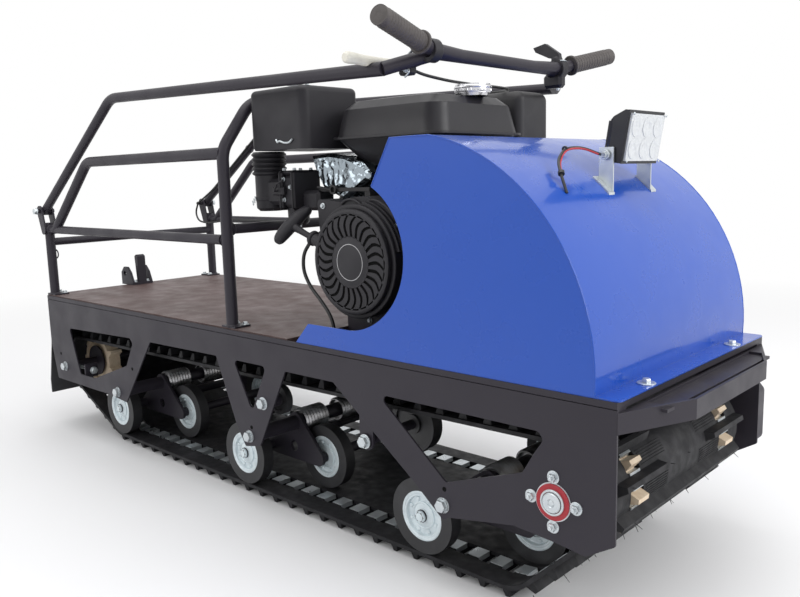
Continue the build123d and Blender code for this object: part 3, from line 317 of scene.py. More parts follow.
DISC_PALE, DISC_DULL = (0.72, 0.80, 0.83), (0.50, 0.57, 0.61)
disc_zinc = Finish("hub_zinc", DISC_PALE, 0.36, 0.20)
disc_zinc.soft_edges(0.0007)
disc_zinc.tint(disc_zinc.ramp(disc_zinc.grain(45.0, 4.0), 0.35, 0.7, 0.0, 0.6), DISC_DULL)
disc_zinc.roughen(disc_zinc.ramp(disc_zinc.grain(60.0, 4.0), 0.3, 0.7, 0.26, 0.46))
disc_zinc.bump(disc_zinc.grain(260.0, 3.0), 0.00008)
dress(disc_zinc, "road_hubs")

ZINC_PALE, ZINC_DULL = (0.60, 0.64, 0.66), (0.46, 0.50, 0.53)
zinc = Finish("zinc_plate", ZINC_PALE, 0.34, 0.75)
zinc.soft_edges(0.0007)
zinc.tint(zinc.ramp(zinc.grain(45.0, 4.0), 0.35, 0.7, 0.0, 0.6), ZINC_DULL)
zinc.roughen(zinc.ramp(zinc.grain(60.0, 4.0), 0.3, 0.7, 0.26, 0.46))
zinc.bump(zinc.grain(260.0, 3.0), 0.00008)
dress(zinc, "bearing_housings", "lamp_bracket")

STEEL_GREY, STEEL_STAINED = (0.42, 0.42, 0.43), (0.27, 0.26, 0.25)
steel = Finish("bare_steel", STEEL_GREY, 0.38, 1.0)
steel.tint(steel.ramp(steel.grain(35.0, 6.0), 0.45, 0.7), STEEL_STAINED)
steel.roughen(steel.ramp(steel.grain(90.0, 4.0), 0.3, 0.7, 0.28, 0.5))
dress(steel, "drive_axle", "torsion_springs")

# The sprockets and the bearings' seals. The sprockets are cast in warm tan polyurethane that
# the belt has rubbed, and a red rubber lip seals each front bearing.
CAST_TAN, RUBBED_TAN = (0.66, 0.54, 0.40), (0.50, 0.36, 0.23)
tan = Finish("sprocket_cast", CAST_TAN, 0.5)
tan.soft_edges(0.001)
tan.tint(tan.ramp(tan.grain(60.0, 5.0), 0.45, 0.75, 0.0, 0.7), RUBBED_TAN)
tan.bump(tan.grain(300.0, 3.0), 0.00015)
dress(tan, "drive_sprockets", "rear_sprockets")

SEAL_RED = (0.34, 0.012, 0.022)
seal = Finish("red_seal", SEAL_RED, 0.4)
seal.bump(seal.grain(400.0, 2.0), 0.0001)
dress(seal, "bearing_seals")

# The engine and what is bolted to it. A painted block and silencer, a bare aluminium cylinder
# head under a crumpled bright shield, moulded plastic covers and air box, and a pressed and
# painted steel tank.
PLASTIC_BLACK = (0.020, 0.019, 0.023)
plastic = Finish("black_plastic", PLASTIC_BLACK, 0.48)
plastic.soft_edges(0.0012).set(Specular_IOR_Level=0.3)
plastic.roughen(plastic.ramp(plastic.grain(30.0, 4.0), 0.3, 0.7, 0.42, 0.56))
plastic.bump(plastic.grain(900.0, 2.0), 0.00012)
dress(plastic, "air_filter_box", "fan_shroud", "recoil_cover", "starter_grip", "intake", "belt_cover")

# A near-black finish of painted shade, laid where the inside of a hole or slot lies in shade.
DEEP_SHADOW = (0.003, 0.003, 0.003)
shadow = Finish("screen_shadow", DEEP_SHADOW, 0.8)
shadow.set(Specular_IOR_Level=0.1)
shadow.bump(shadow.grain(500.0), 0.0001)

ENGINE_BLACK, ENGINE_DUSTY = (0.022, 0.021, 0.023), (0.045, 0.043, 0.045)
engine_paint = Finish("engine_paint", ENGINE_BLACK, 0.5)
engine_paint.soft_edges(0.001).set(Specular_IOR_Level=0.35)
engine_paint.tint(engine_paint.ramp(engine_paint.grain(25.0, 5.0), 0.45, 0.8, 0.0, 0.6), ENGINE_DUSTY)
engine_paint.bump(engine_paint.grain(500.0, 3.0), 0.0002)
dress(engine_paint, "engine_block", "silencer")

CASTING_GREY = (0.40, 0.41, 0.42)
casting = Finish("bare_casting", CASTING_GREY, 0.45, 0.9)
casting.soft_edges(0.0008)
casting.bump(casting.grain(380.0, 3.0), 0.0002)
dress(casting, "cylinder_head")

SHIELD_BRIGHT = (0.34, 0.39, 0.43)
shield = Finish("bright_heat_shield", SHIELD_BRIGHT, 0.16, 1.0)
shield.bump(shield.grain(24.0, 2.0), 0.012)
shield.bump(shield.grain(60.0, 2.0, kind="cells"), 0.0022)
dress(shield, "head_shield")

TANK_BLACK = (0.020, 0.019, 0.022)
tank_paint = Finish("tank_paint", TANK_BLACK, 0.34)
tank_paint.soft_edges(0.002).set(Specular_IOR_Level=0.35)
tank_paint.roughen(tank_paint.ramp(tank_paint.grain(20.0, 4.0), 0.3, 0.7, 0.28, 0.42))
tank_paint.bump(tank_paint.grain(240.0, 2.0), 0.00012)
dress(tank_paint, "fuel_tank")

CHROME_PALE = (0.66, 0.66, 0.68)
chrome = Finish("chrome_cap", CHROME_PALE, 0.2, 1.0)
chrome.roughen(chrome.ramp(chrome.grain(80.0, 4.0), 0.3, 0.7, 0.18, 0.32))
chrome.bump(chrome.grain(200.0), 0.00006)
dress(chrome, "tank_cap")

# The hood. One rolled steel sheet is welded to two flat sides, and the whole is sprayed in
# gloss blue under a thin clear coat.
HOOD_BLUE = (0.004, 0.064, 0.40)
hood_paint = Finish("hood_blue_paint", HOOD_BLUE, 0.3)
hood_paint.soft_edges(0.0015)
hood_paint.set(Coat_Weight=0.45, Coat_Roughness=0.08, Specular_IOR_Level=0.3)
hood_paint.roughen(hood_paint.ramp(hood_paint.grain(18.0, 4.0), 0.3, 0.7, 0.24, 0.36))
hood_paint.bump(hood_paint.grain(150.0, 2.0), 0.00003)
dress(hood_paint, "hood")

# The grips, cords, levers and work lamp. Soft brown-black rubber grips, plastic cable sheaths,
# a cream sleeve on the brake lever, and a black-coated aluminium lamp with a frosted face.
GRIP_BROWN, GRIP_RUBBED = (0.062, 0.054, 0.052), (0.10, 0.088, 0.082)
grip_rubber = Finish("grip_rubber", GRIP_BROWN, 0.6)
grip_rubber.tint(grip_rubber.ramp(grip_rubber.grain(40.0, 5.0), 0.45, 0.8, 0.0, 0.5), GRIP_RUBBED)
grip_rubber.bump(grip_rubber.grain(500.0, kind="cells"), 0.0003)
dress(grip_rubber, "grips")

SHEATH_BLACK = (0.014, 0.014, 0.015)
sheath = Finish("cable_sheath", SHEATH_BLACK, 0.42)
sheath.roughen(sheath.ramp(sheath.grain(60.0, 4.0), 0.3, 0.7, 0.34, 0.5))
sheath.bump(sheath.grain(700.0), 0.00006)
dress(sheath, "handle_cable", "cable_tail", "lamp_wire", "breather_hose")

SLEEVE_CREAM, SLEEVE_WORN = (0.74, 0.72, 0.64), (0.55, 0.52, 0.45)
cream = Finish("lever_sleeve", SLEEVE_CREAM, 0.4)
cream.tint(cream.ramp(cream.grain(50.0, 5.0), 0.5, 0.8, 0.0, 0.6), SLEEVE_WORN)
cream.bump(cream.grain(320.0), 0.0001)
dress(plastic, "control_levers")

HOUSING_BLACK = (0.018, 0.018, 0.021)
lamp_coat = Finish("lamp_housing", HOUSING_BLACK, 0.42)
lamp_coat.soft_edges(0.0008).set(Specular_IOR_Level=0.35)
lamp_coat.roughen(lamp_coat.ramp(lamp_coat.grain(40.0, 4.0), 0.3, 0.7, 0.36, 0.5))
lamp_coat.bump(lamp_coat.grain(600.0), 0.0001)
dress(lamp_coat, "lamp")

LENS_WHITE = (0.56, 0.58, 0.60)
lens = Finish("lamp_lens_face", LENS_WHITE, 0.2)
lens.set(Coat_Weight=0.6, Coat_Roughness=0.05)
lens.bump(lens.grain(95.0, kind="cells"), 0.0016)
dress(lens, "lamp_lens")

# The bolts. Zinc-plated hexagon heads and nuts on plain washers hold the axles, bearings,
# hood, posts and lamp ears. Each head is turned with a chamfer, and nuts show a thread's end.
STATION_ZERO = 960.0
RIGHT, LEFT, UP, AHEAD = (0, -1, 0), (0, 1, 0), (0, 0, 1), (1, 0, 0)
PLATE_FACE = 300.0
BOLTS = (
    # x, y, z in the maker's millimetres, the way it points, across flats, washer radius, is a nut
    *((x, side * PLATE_FACE, z, (0, side, 0), 20.2, 14.5, False)
      for x, z in ((401, 176), (1004, 175), (1572, 166), (1378, 243.1), (1060.6, 261.6), (85, 204))
      for side in (-1, 1)),
    *((1800 + dx, -PLATE_FACE, 234 + dz, RIGHT, 13, 11, True)
      for dx, dz in ((41, 0), (-41, 0), (0, 41), (0, -41))),
    (1894, -181, 416.5, UP, 13, 15, False),
    (1894, 175, 416.5, UP, 13, 15, False),
    *((x + dx, side * 261, 421, UP, 10, 8, False) for x in (22, 940) for dx in (-17, 17) for side in (-1, 1)),
    (1744.8, -48, 776.1, RIGHT, 10, 9, False),
    (1744.8, 108, 776.1, LEFT, 10, 9, True),
    *((5, side * 309.5, 671, (0, side, 0), 16, 10, False) for side in (-1, 1)),
)


def spot(x, y, z):
    """A place in the scene from the maker's millimetres."""
    return Vector((x - STATION_ZERO, y, z)) / 1000.0


def seated(x, y, z):
    """An unturned frame at a place."""
    return Matrix.Translation(spot(x, y, z))


def stood(place, along):
    """A frame at a place whose own Z points along a direction."""
    return Matrix.Translation(spot(*place)) @ Vector(along).to_track_quat("Z", "Y").to_matrix().to_4x4()


def turned(shape, profile, place, along, steps=16):
    """Spins (radius, height) points, given in millimetres, about a line that points along."""
    seat = stood(place, along)
    points = [shape.verts.new(seat @ Vector((radius / 1000.0, 0.0, height / 1000.0)))
              for radius, height in profile]
    edges = [shape.edges.new(pair) for pair in zip(points, points[1:])]
    bmesh.ops.spin(shape, geom=points + edges, cent=seat.translation, axis=seat.to_3x3() @ Vector((0, 0, 1)),
                   dvec=(0, 0, 0), angle=2 * math.pi, steps=steps, use_merge=True, use_duplicate=False)


def slab(shape, seat, wide, deep, tall, chamfer):
    """A block of wide x deep x tall millimetres that stands on the frame's own Z, edges broken."""
    made = bmesh.ops.create_cube(shape, size=1.0, matrix=seat @ Matrix.Translation((0, 0, tall / 2000.0))
                                 @ Matrix.Diagonal((wide / 1000.0, deep / 1000.0, tall / 1000.0, 1.0)))
    edges = list({edge for vert in made["verts"] for edge in vert.link_edges})
    bmesh.ops.bevel(shape, geom=edges, offset=chamfer / 1000.0, segments=1, profile=0.5,
                    affect="EDGES", material=-1)


def bolt(shape, place, along, flats, washer, nut):
    corner = flats / 2 / math.cos(math.pi / 6)
    head = flats * 0.52
    turned(shape, ((0, 0), (washer, 0), (washer, 1.6), (washer - 0.6, 2), (0, 2)), place, along, 18)
    turned(shape, ((0, 2), (corner, 2), (corner, head), (corner * 0.86, head + 1.5), (0, head + 1.5)),
           place, along, 6)
    if nut:
        thread = flats * 0.29
        turned(shape, ((0, head), (thread, head), (thread, head + 5), (thread - 1, head + 6), (0, head + 6)),
               place, along, 10)


def piece(name, shape, finish, body, sharp=0.55):
    """Makes an object of a finished shape, shaded smooth up to the sharp angle."""
    bmesh.ops.remove_doubles(shape, verts=shape.verts, dist=0.000002)
    bmesh.ops.recalc_face_normals(shape, faces=shape.faces)
    mesh = bpy.data.meshes.new(name)
    shape.to_mesh(mesh)
    shape.free()
    mesh.shade_smooth()
    mesh.set_sharp_from_angle(angle=sharp)
    mesh.materials.append(finish.material)
    made = bpy.data.objects.new(name, mesh)
    bpy.context.scene.collection.objects.link(made)
    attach(made, body)
    return made


shape = bmesh.new()
for x, y, z, along, flats, washer, nut in BOLTS:
    bolt(shape, (x, y, z), along, flats, washer, nut)
piece("zinc_bolts", shape, zinc, "chassis")

# The road wheels' discs. Pressed steel with a rolled rim bead, eight domed rivets in the
# well and a pressed cap over the axle's end, on both faces.
WHEEL_Z = 100.5
WHEELS = (
    # x, distance of the wheel's middle from the machine's middle
    (307, 236), (492, 133), (910, 236), (1081, 133), (1475, 236), (1660, 133),
)
shape = bmesh.new()
for x, reach in WHEELS:
    for side in (-1, 1):
        for face in (-1, 1):
            y = side * reach
            out = (0, face, 0)
            turned(shape, ((43, 12.6), (44.5, 14.2), (47.5, 14.6), (49.6, 13.6), (49.8, 12.6), (43, 12.6)),
                   (x, y, WHEEL_Z), out, 40)
            turned(shape, ((27.6, 6.8), (27.4, 9.4), (25.5, 10.2), (24, 9.2), (23.6, 6.8), (27.6, 6.8)),
                   (x, y, WHEEL_Z), out, 32)
            turned(shape, ((0, 3), (15, 3), (15, 8.6), (13.6, 9.6), (0, 9.6)), (x, y, WHEEL_Z), out, 24)
            for index in range(8):
                turn = math.radians(22.5 + 45 * index)
                at = (x + 33.5 * math.cos(turn), y + face * 7, WHEEL_Z + 33.5 * math.sin(turn))
                turned(shape, ((0, -0.5), (4.6, -0.5), (4.4, 1.4), (2.8, 3), (0, 3.4)), at, out, 10)
            turned(shape, ((0, 9), (14.5, 9), (14.5, 11.5), (11.6, 12.2), (11, 18.5), (8.5, 21), (0, 22)),
                   (x, y, WHEEL_Z), out, 24)
piece("wheel_disc_details", shape, disc_zinc, "chassis")

# The belt's steel clips and moulded ribs. A clip of bent sheet lines each bar between two
# windows, and fine rubber ribs run across the belt's outer face on both sides of the middle.
BELT_THICK = 8.0
BELT_PITCH = 54.8
BELT_PITCHES = 73
WINDOW_LONG = 28.0
WINDOW_ROW = 180.0
FIRST_TOOTH = 2004.142
WRAPS = (
    # x, z, radius of the belt's inner face, clockwise from the rear sprocket
    (85.030, 204.0, 74.495), (1800.0, 234.0, 74.495), (1660.0, 100.5, 75.0), (307.0, 100.5, 75.0),
)


def belt_spot(distance):
    """The belt's inner face at a distance along its middle: x, z and the outward angle."""
    leaves = []
    for (x, z, radius), (next_x, next_z, next_radius) in zip(WRAPS, WRAPS[1:] + WRAPS[:1]):
        run = math.hypot(next_x - x, next_z - z)
        leaves.append(math.atan2(next_z - z, next_x - x) + math.acos((radius - next_radius) / run))
    distance %= BELT_PITCH * BELT_PITCHES
    while True:
        for index, (x, z, radius) in enumerate(WRAPS):
            middle = radius + BELT_THICK / 2
            turn = (leaves[index - 1] - leaves[index]) % (2 * math.pi)
            if distance < turn * middle:
                angle = leaves[index - 1] - distance / middle
                return x + radius * math.cos(angle), z + radius * math.sin(angle), angle
            distance -= turn * middle
            next_x, next_z, next_radius = WRAPS[(index + 1) % len(WRAPS)]
            run = math.sqrt((next_x - x) ** 2 + (next_z - z) ** 2 - (radius - next_radius) ** 2)
            angle = leaves[index]
            if distance < run:
                return (x + radius * math.cos(angle) + distance * math.sin(angle),
                        z + radius * math.sin(angle) - distance * math.cos(angle), angle)
            distance -= run


def on_belt(distance, y):
    """A frame on the belt's inner face: own X runs along the belt, Y across it and Z outward."""
    x, z, angle = belt_spot(distance)
    outward = Vector((math.cos(angle), 0, math.sin(angle)))
    across = Vector((0, 1, 0))
    turn = Matrix((across.cross(outward), across, outward)).transposed().to_4x4()
    return Matrix.Translation(spot(x, y, z)) @ turn


def pushed(shape, faces, way):
    """Extrudes the faces and moves the new ones by a way in metres."""
    grown = bmesh.ops.extrude_face_region(shape, geom=faces)
    bmesh.ops.translate(shape, vec=way,
                        verts=[part for part in grown["geom"] if isinstance(part, bmesh.types.BMVert)])


def bent_sheet(shape, seat, points, wide):
    """A closed outline of (along, out) points in millimetres, made wide across the belt."""
    near = [shape.verts.new(seat @ Vector((a / 1000.0, -wide / 2000.0, b / 1000.0))) for a, b in points]
    pushed(shape, [shape.faces.new(near)], seat.to_3x3() @ Vector((0, wide / 1000.0, 0)))


half_bar = (BELT_PITCH - WINDOW_LONG) / 2
clip = [(-half_bar + 3.2, BELT_THICK + 1), (-half_bar - 1, BELT_THICK + 1), (-half_bar - 1, -1.2),
        (half_bar + 1, -1.2), (half_bar + 1, BELT_THICK + 1), (half_bar - 3.2, BELT_THICK + 1),
        (half_bar - 3.2, BELT_THICK + 0.1), (half_bar + 0.1, BELT_THICK + 0.1), (half_bar + 0.1, -0.1),
        (-half_bar - 0.1, -0.1), (-half_bar - 0.1, BELT_THICK + 0.1), (-half_bar + 3.2, BELT_THICK + 0.1)]
shape = bmesh.new()
for index in range(BELT_PITCHES):
    for side in (-1, 1):
        seat = on_belt(FIRST_TOOTH + (index + 0.5) * BELT_PITCH, side * WINDOW_ROW)
        bent_sheet(shape, seat, clip, 34.0)
piece("track_clips", shape, zinc, "chassis")

shape = bmesh.new()
for index in range(BELT_PITCHES):
    for step in range(6):
        for side in (-1, 1):
            seat = on_belt(FIRST_TOOTH + index * BELT_PITCH + (step - 2.5) * 4.4, side * 108.0)
            rib = [(-0.9, BELT_THICK - 0.2), (0.9, BELT_THICK - 0.2), (0.5, BELT_THICK + 1.3),
                   (-0.5, BELT_THICK + 1.3)]
            bent_sheet(shape, seat, rib, 84.0)
piece("track_ribs", shape, belt_rubber, "chassis")

# The hairs on the lugs. A new belt keeps the thin rubber hairs that the mould's vents leave on
# the lugs' tips, and they show round the front.
HAIR_STEPS = range(-8, 9)
LUG_TIP = 25.0
shape = bmesh.new()
for step in HAIR_STEPS:
    for count in range(5):
        y = -225 + count * 108 + 31 * math.sin(step * 2.3 + count * 1.7)
        if abs(y) < 95 and step % 2:
            continue
        seat = on_belt(FIRST_TOOTH + (step + 0.5) * BELT_PITCH, y)
        tip = seat @ Vector((0, 0, LUG_TIP / 1000.0))
        long = 9 + 7 * math.sin(step * 1.9 + count * 2.9)
        if tip.z < (long + 2) / 1000.0:
            continue
        lean = Matrix.Rotation(0.5 * math.sin(step * 3.1 + count), 4, "X")
        foot = seat @ Matrix.Translation((0, 0, (LUG_TIP - 0.5) / 1000.0)) @ lean
        bmesh.ops.create_cone(shape, cap_ends=True, segments=5, radius1=0.0007, radius2=0.0004,
                              depth=long / 1000.0, matrix=foot @ Matrix.Translation((0, 0, long / 2000.0)))
piece("track_mould_hairs", shape, belt_rubber, "chassis")

# The drive shaft's end. The steel shaft is turned with a centre hole in its face and held in
# the right front bearing by a collar.
shape = bmesh.new()
turned(shape, ((0, 4), (4, 4), (5.5, 2.8), (7, 4.6), (15, 4.6), (16.6, 3), (16.6, 0.4), (0, 0.4)),
       (1800, -304, 234), RIGHT, 32)
turned(shape, ((18, 0.4), (18, 3.4), (20.6, 3.8), (21.6, 2.6), (21.6, 0.4), (18, 0.4)),
       (1800, -302.6, 234), RIGHT, 36)
piece("shaft_end_turning", shape, zinc, "chassis")

# Small holes in the side plates. They are cut with the plate by laser and left open; each is drawn
# as a thin near-black disc on the plate's face, painted shade for the dark inside the hole.
PITS = ((491, 255, 4.5), (1013, 197.5, 4.5), (1576, 197, 4.5), (60, 240, 4.5))
shape = bmesh.new()
for x, z, radius in PITS:
    for side in (-1, 1):
        turned(shape, ((0, 0.05), (radius - 0.8, 0.1), (radius, 0.35), (radius, 0.0), (0, 0.0)),
               (x, side * PLATE_FACE, z), (0, side, 0), 16)
piece("plate_hole_painted_shade", shape, shadow, "chassis")

# The pull start. A moulded cover with a raised middle disc, a pale printed ring, a rolled rim
# and bent slots with a near-black ring of painted shade behind them; louvres and a cast bead stand on the
# drum beside it.
CRANK_X, CRANK_Z = 1303.0, 582.0
RECOIL_FACE = -250.0
VANES = 26
SLOT_WIDE = 6.6
SLOT_BEND = ((50.5, -1.2), (58.0, 0.9), (66.0, 2.6), (74.0, 3.1), (82.0, 0.2), (89.0, -5.6), (95.0, -12.4))
DRUM_FACE = -215.0
VANE_RISE = 2.6


def flowing(points, steps=5):
    """The points with a smooth curve laid through them."""
    ends = [points[0], *points, points[-1]]
    laid = []
    for before, here, after, last in zip(ends, ends[1:], ends[2:], ends[3:]):
        for step in range(steps):
            t = step / steps
            laid.append(tuple(0.5 * (2 * b + (c - a) * t + (2 * a - 5 * b + 4 * c - d) * t * t
                                     + (3 * b - a - 3 * c + d) * t ** 3)
                              for a, b, c, d in zip(before, here, after, last)))
    return laid + [points[-1]]


def swept(shape, path, radii, steps=10, flat=1.0):
    """A round bar through the points, flattened upward by a share, with a radius for each point."""
    spots = [spot(*point) for point in path]
    if isinstance(radii, (int, float)):
        radii = [radii] * len(path)
    rings = []
    for index, here in enumerate(spots):
        way = spots[min(index + 1, len(spots) - 1)] - spots[max(index - 1, 0)]
        seat = (Matrix.Translation(here) @ way.to_track_quat("Z", "Y").to_matrix().to_4x4()
                @ Matrix.Diagonal((1.0, flat, 1.0, 1.0)))
        rings.append(bmesh.ops.create_circle(shape, cap_ends=index in (0, len(spots) - 1), segments=steps,
                                             radius=radii[index] / 1000.0, matrix=seat)["verts"])
    loops = [[edge for edge in {edge for vert in ring for edge in vert.link_edges}
              if edge.other_vert(edge.verts[0]) in ring and edge.verts[0] in ring] for ring in rings]
    for first, second in zip(loops, loops[1:]):
        bmesh.ops.bridge_loops(shape, edges=first + second)


def arc_bar(shape, inner, outer, y0, y1, start, end):
    """A bar bent round the crank line between two angles, from y0 to y1."""
    centre = spot(CRANK_X, 0, CRANK_Z)
    turn = math.radians(start)
    way = Vector((math.cos(turn), 0, math.sin(turn)))
    corners = [shape.verts.new(centre + way * radius / 1000.0 + Vector((0, y / 1000.0, 0)))
               for radius, y in ((inner, y0), (outer, y0), (outer, y1), (inner, y1))]
    face = shape.faces.new(corners)
    steps = max(2, round((end - start) / 5))
    bmesh.ops.spin(shape, geom=[face, *face.edges, *face.verts], cent=centre, axis=(0, -1, 0),
                   dvec=(0, 0, 0), angle=math.radians(end - start), steps=steps, use_duplicate=False)


shape = bmesh.new()
middle = (CRANK_X, RECOIL_FACE, CRANK_Z)
turned(shape, ((0, 3.4), (44, 3.4), (45.5, 2.6), (51.5, 2.6), (51.5, -0.5), (0, -0.5)), middle, RIGHT, 48)
turned(shape, ((93, -0.5), (93, 2.6), (97, 2.6), (98, 3.4), (102, 3.4), (104.6, 2), (105.6, -1.5),
               (93, -1.5)), middle, RIGHT, 64)
for index in range(VANES):
    outline = []
    for edge, shift in ((index, SLOT_WIDE / 2), (index + 1, -SLOT_WIDE / 2)):
        turn = Matrix.Rotation(-2 * math.pi * edge / VANES, 3, "Y")
        side = [turn @ Vector((along, 0, across + shift)) for along, across in SLOT_BEND]
        outline += side if edge == index else side[::-1]
    near = [shape.verts.new(spot(CRANK_X, RECOIL_FACE, CRANK_Z) + point / 1000.0) for point in outline]
    pushed(shape, [shape.faces.new(near)], (0, -VANE_RISE / 1000.0, 0))
turned(shape, ((104.5, 0), (105.5, 1.6), (109, 2.2), (113, 1.4), (114.4, -0.6), (104.5, -0.6)),
       (CRANK_X, -240.3, CRANK_Z), RIGHT, 64)
for outer, y0, y1 in ((126.5, -216, -220), (123.5, -224, -227.5), (120.5, -231, -234.5)):
    arc_bar(shape, 113.5, outer, y0, y1, 12, 80)
swept(shape, flowing([(1247, -217, 695), (1262, -218, 703), (1280, -218, 704), (1297, -218, 698),
                      (1308, -218, 691), (1320, -218, 698), (1336, -218, 703), (1356, -218, 699),
                      (1380, -217, 684), (1402, -216, 660)]), 2.6, 8)
piece("recoil_cover_details", shape, plastic, "chassis")

# A near-black ring behind the slots: painted shade for the dark inside of the cover.
shape = bmesh.new()
turned(shape, ((50, 0.25), (95, 0.25), (95, -6.5), (50, -6.5), (50, 0.25)), middle, RIGHT, 64)
piece("recoil_slot_painted_shade", shape, shadow, "chassis")

PRINT_GREY, PRINT_WORN = (0.42, 0.42, 0.43), (0.30, 0.30, 0.31)
pale = Finish("pale_print", PRINT_GREY, 0.5)
pale.tint(pale.ramp(pale.grain(60.0, 5.0), 0.45, 0.7), PRINT_WORN)
shape = bmesh.new()
turned(shape, ((35.2, 3.2), (35.4, 3.7), (36.6, 3.7), (36.8, 3.2), (35.2, 3.2)), middle, RIGHT, 64)
piece("recoil_printed_ring", shape, pale, "chassis")

shape = bmesh.new()
for turn in (-83, 37, 157):
    angle = math.radians(turn)
    bolt(shape, (CRANK_X + 121 * math.cos(angle), DRUM_FACE, CRANK_Z + 121 * math.sin(angle)),
         RIGHT, 8, 5.5, False)
for x, z in ((1172, 690), (1216, 497), (1385, 497)):
    bolt(shape, (x, -200, z), RIGHT, 8, 6.5, False)
piece("recoil_screws", shape, zinc, "chassis")

# The pull start's grip. A thick moulded T, bowed toward the hand, on a stem that ends in the
# rope's guide.
shape = bmesh.new()
swept(shape, flowing([(1097, -267, 616), (1096, -252, 630), (1101, -231, 650), (1109, -209, 670),
                      (1117, -190, 684)], 4),
      [8, 10.5, 12.5, 13.6, 14.4, 14.9, 15.2, 15.4, 15.5, 15.4, 15.2, 14.8, 14.2, 13.4, 12.2, 10.4, 7.5], 16)
swept(shape, flowing([(1104, -230, 648), (1122, -229, 641), (1144, -228, 632), (1162, -228, 626)], 3),
      [11, 10, 9, 8, 7.2, 6.8, 6.5, 6.5, 6.5, 7], 12)
turned(shape, ((5, -2), (15, -2), (16.5, 0), (16.5, 5), (14.5, 8), (9, 9), (5, 9)), (1172, -228, 622.6),
       (-51, 0, 17), 20)
grip_piece = piece("starter_grip_moulded", shape, plastic, "chassis")
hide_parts("starter_grip")

# The intake. A ribbed rubber boot under the air box, an elbow, the carburettor with its flanges,
# float bowl and screws, and the stub that leads into the head.
BOOT_X, BOOT_Y = 949.0, -163.0
shape = bmesh.new()
ribs = [(34, 757)]
for index in range(5):
    foot = 758 + index * 10.5
    ribs += [(37.5, foot + 1), (40, foot + 3), (40, foot + 6), (37.5, foot + 8), (36, foot + 9.5)]
ribs += [(36, 810.5)]
turned(shape, [(0, 757), *ribs, (0, 810.5)], (BOOT_X, BOOT_Y, 0), UP, 28)
turned(shape, ((0, 676), (26, 676), (33, 683), (34, 700), (35.5, 702), (35.5, 708), (34, 710),
               (34, 757.5), (0, 757.5)), (BOOT_X, BOOT_Y, 0), UP, 28)
slab(shape, seated(990, -157, 690), 66, 62, 60, 9)
slab(shape, seated(1026, -157, 679), 8, 82, 88, 6)
slab(shape, seated(1042, -157, 684), 46, 60, 74, 8)
slab(shape, seated(1042, -157, 758), 50, 64, 9, 4)
slab(shape, seated(1068, -157, 679), 8, 82, 88, 6)
turned(shape, ((0, 646), (18, 646), (24, 652), (25, 684), (0, 684)), (1040, -157, 0), UP, 24)
slab(shape, seated(1096, -145, 678), 56, 52, 44, 7)
slab(shape, seated(1018, -192, 712), 40, 12, 20, 3)
swept(shape, [(1018, -199, 722), (1016, -206, 722), (1030, -208, 738), (1052, -208, 746)], 2, 8)
boot = piece("intake_and_boot", shape, plastic, "chassis")
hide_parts("intake")

shape = bmesh.new()
for x, z in ((1030, 702), (1054, 730), (1030, 748)):
    bolt(shape, (x, -188, z), RIGHT, 8, 5.5, False)
for dx in (-18, 18):
    for dy in (-24, 24):
        bolt(shape, (1042 + dx, -157 + dy, 767), UP, 7, 4.5, False)
bolt(shape, (1040, -157, 646), (0, 0, -1), 10, 8, False)
for dz in (0, 5, 10):
    swept(shape, [(926 + dz, -199, 700 + dz), (930 + dz, -199.5, 690 + dz)], 1.6, 6)
piece("intake_hardware", shape, zinc, "chassis")

# The air box. A moulded lid that hooks over the tray at a thin seam, a sprung wire clip on
# the near side, and the lid's wing nut with its safety wire on top.
shape = bmesh.new()
swept(shape, flowing([(1060, -227.5, 833), (1064, -228, 827), (1072, -228, 829), (1086, -227.5, 825),
                      (1102, -227.5, 825), (1113, -228, 831)], 3), 2.3, 8)
turned(shape, ((0, 0), (4.5, 0), (4.5, 6), (7, 7), (7, 11), (3, 13), (0, 13)), (1132, -196, 942.2), UP, 16)
for side in (-1, 1):
    slab(shape, seated(1132 + side * 8, -196, 948), 9, 2.4, 11, 1)
swept(shape, flowing([(1060, -214, 962), (1074, -214, 949), (1092, -212, 944), (1112, -206, 944),
                      (1130, -198, 946)], 4), 1.1, 6)
piece("air_box_clip_and_nut", shape, zinc, "chassis")

# The tank. A knurled filler cap with a domed top.
shape = bmesh.new()
CAP = (1423, -5, 910)
turned(shape, ((30, -5), (31, 0), (36.6, 1), (37.4, 3), (37.4, 9), (38.6, 10.5), (38.4, 13.5), (35, 16.8),
               (26, 19), (14, 20.4), (0, 20.8), (0, -5)), CAP, UP, 40)
for index in range(30):
    angle = math.radians(index * 12)
    seat = seated(CAP[0] + 37 * math.cos(angle), CAP[1] + 37 * math.sin(angle), CAP[2] + 3.5)
    slab(shape, seat @ Matrix.Rotation(angle, 4, "Z"), 2, 3.4, 5.5, 0.6)
piece("tank_cap_knurl", shape, chrome, "chassis")

# The controls on the handlebar. On the right a short thick cream-sleeved blade turns in a dark
# perch with a bright pivot arm; on the left a black thumb paddle stands on its clamp.
BAR_X, BAR_Z = 1486.0, 966.0
PADDLE_WIDE = 12.0
shape = bmesh.new()
swept(shape, flowing([(1428, -222, 951), (1412, -248, 951), (1409, -290, 952), (1410, -330, 954),
                      (1413, -352, 953)], 4),
      [5.5, 6.5, 7.5, 8, 8.3, 8.5, 8.5, 8.5, 8.5, 8.5, 8.5, 8.7, 9, 9.2, 9.2, 8.5, 6], 12, 1.15)
piece("brake_lever_sleeve", shape, cream, "handle")

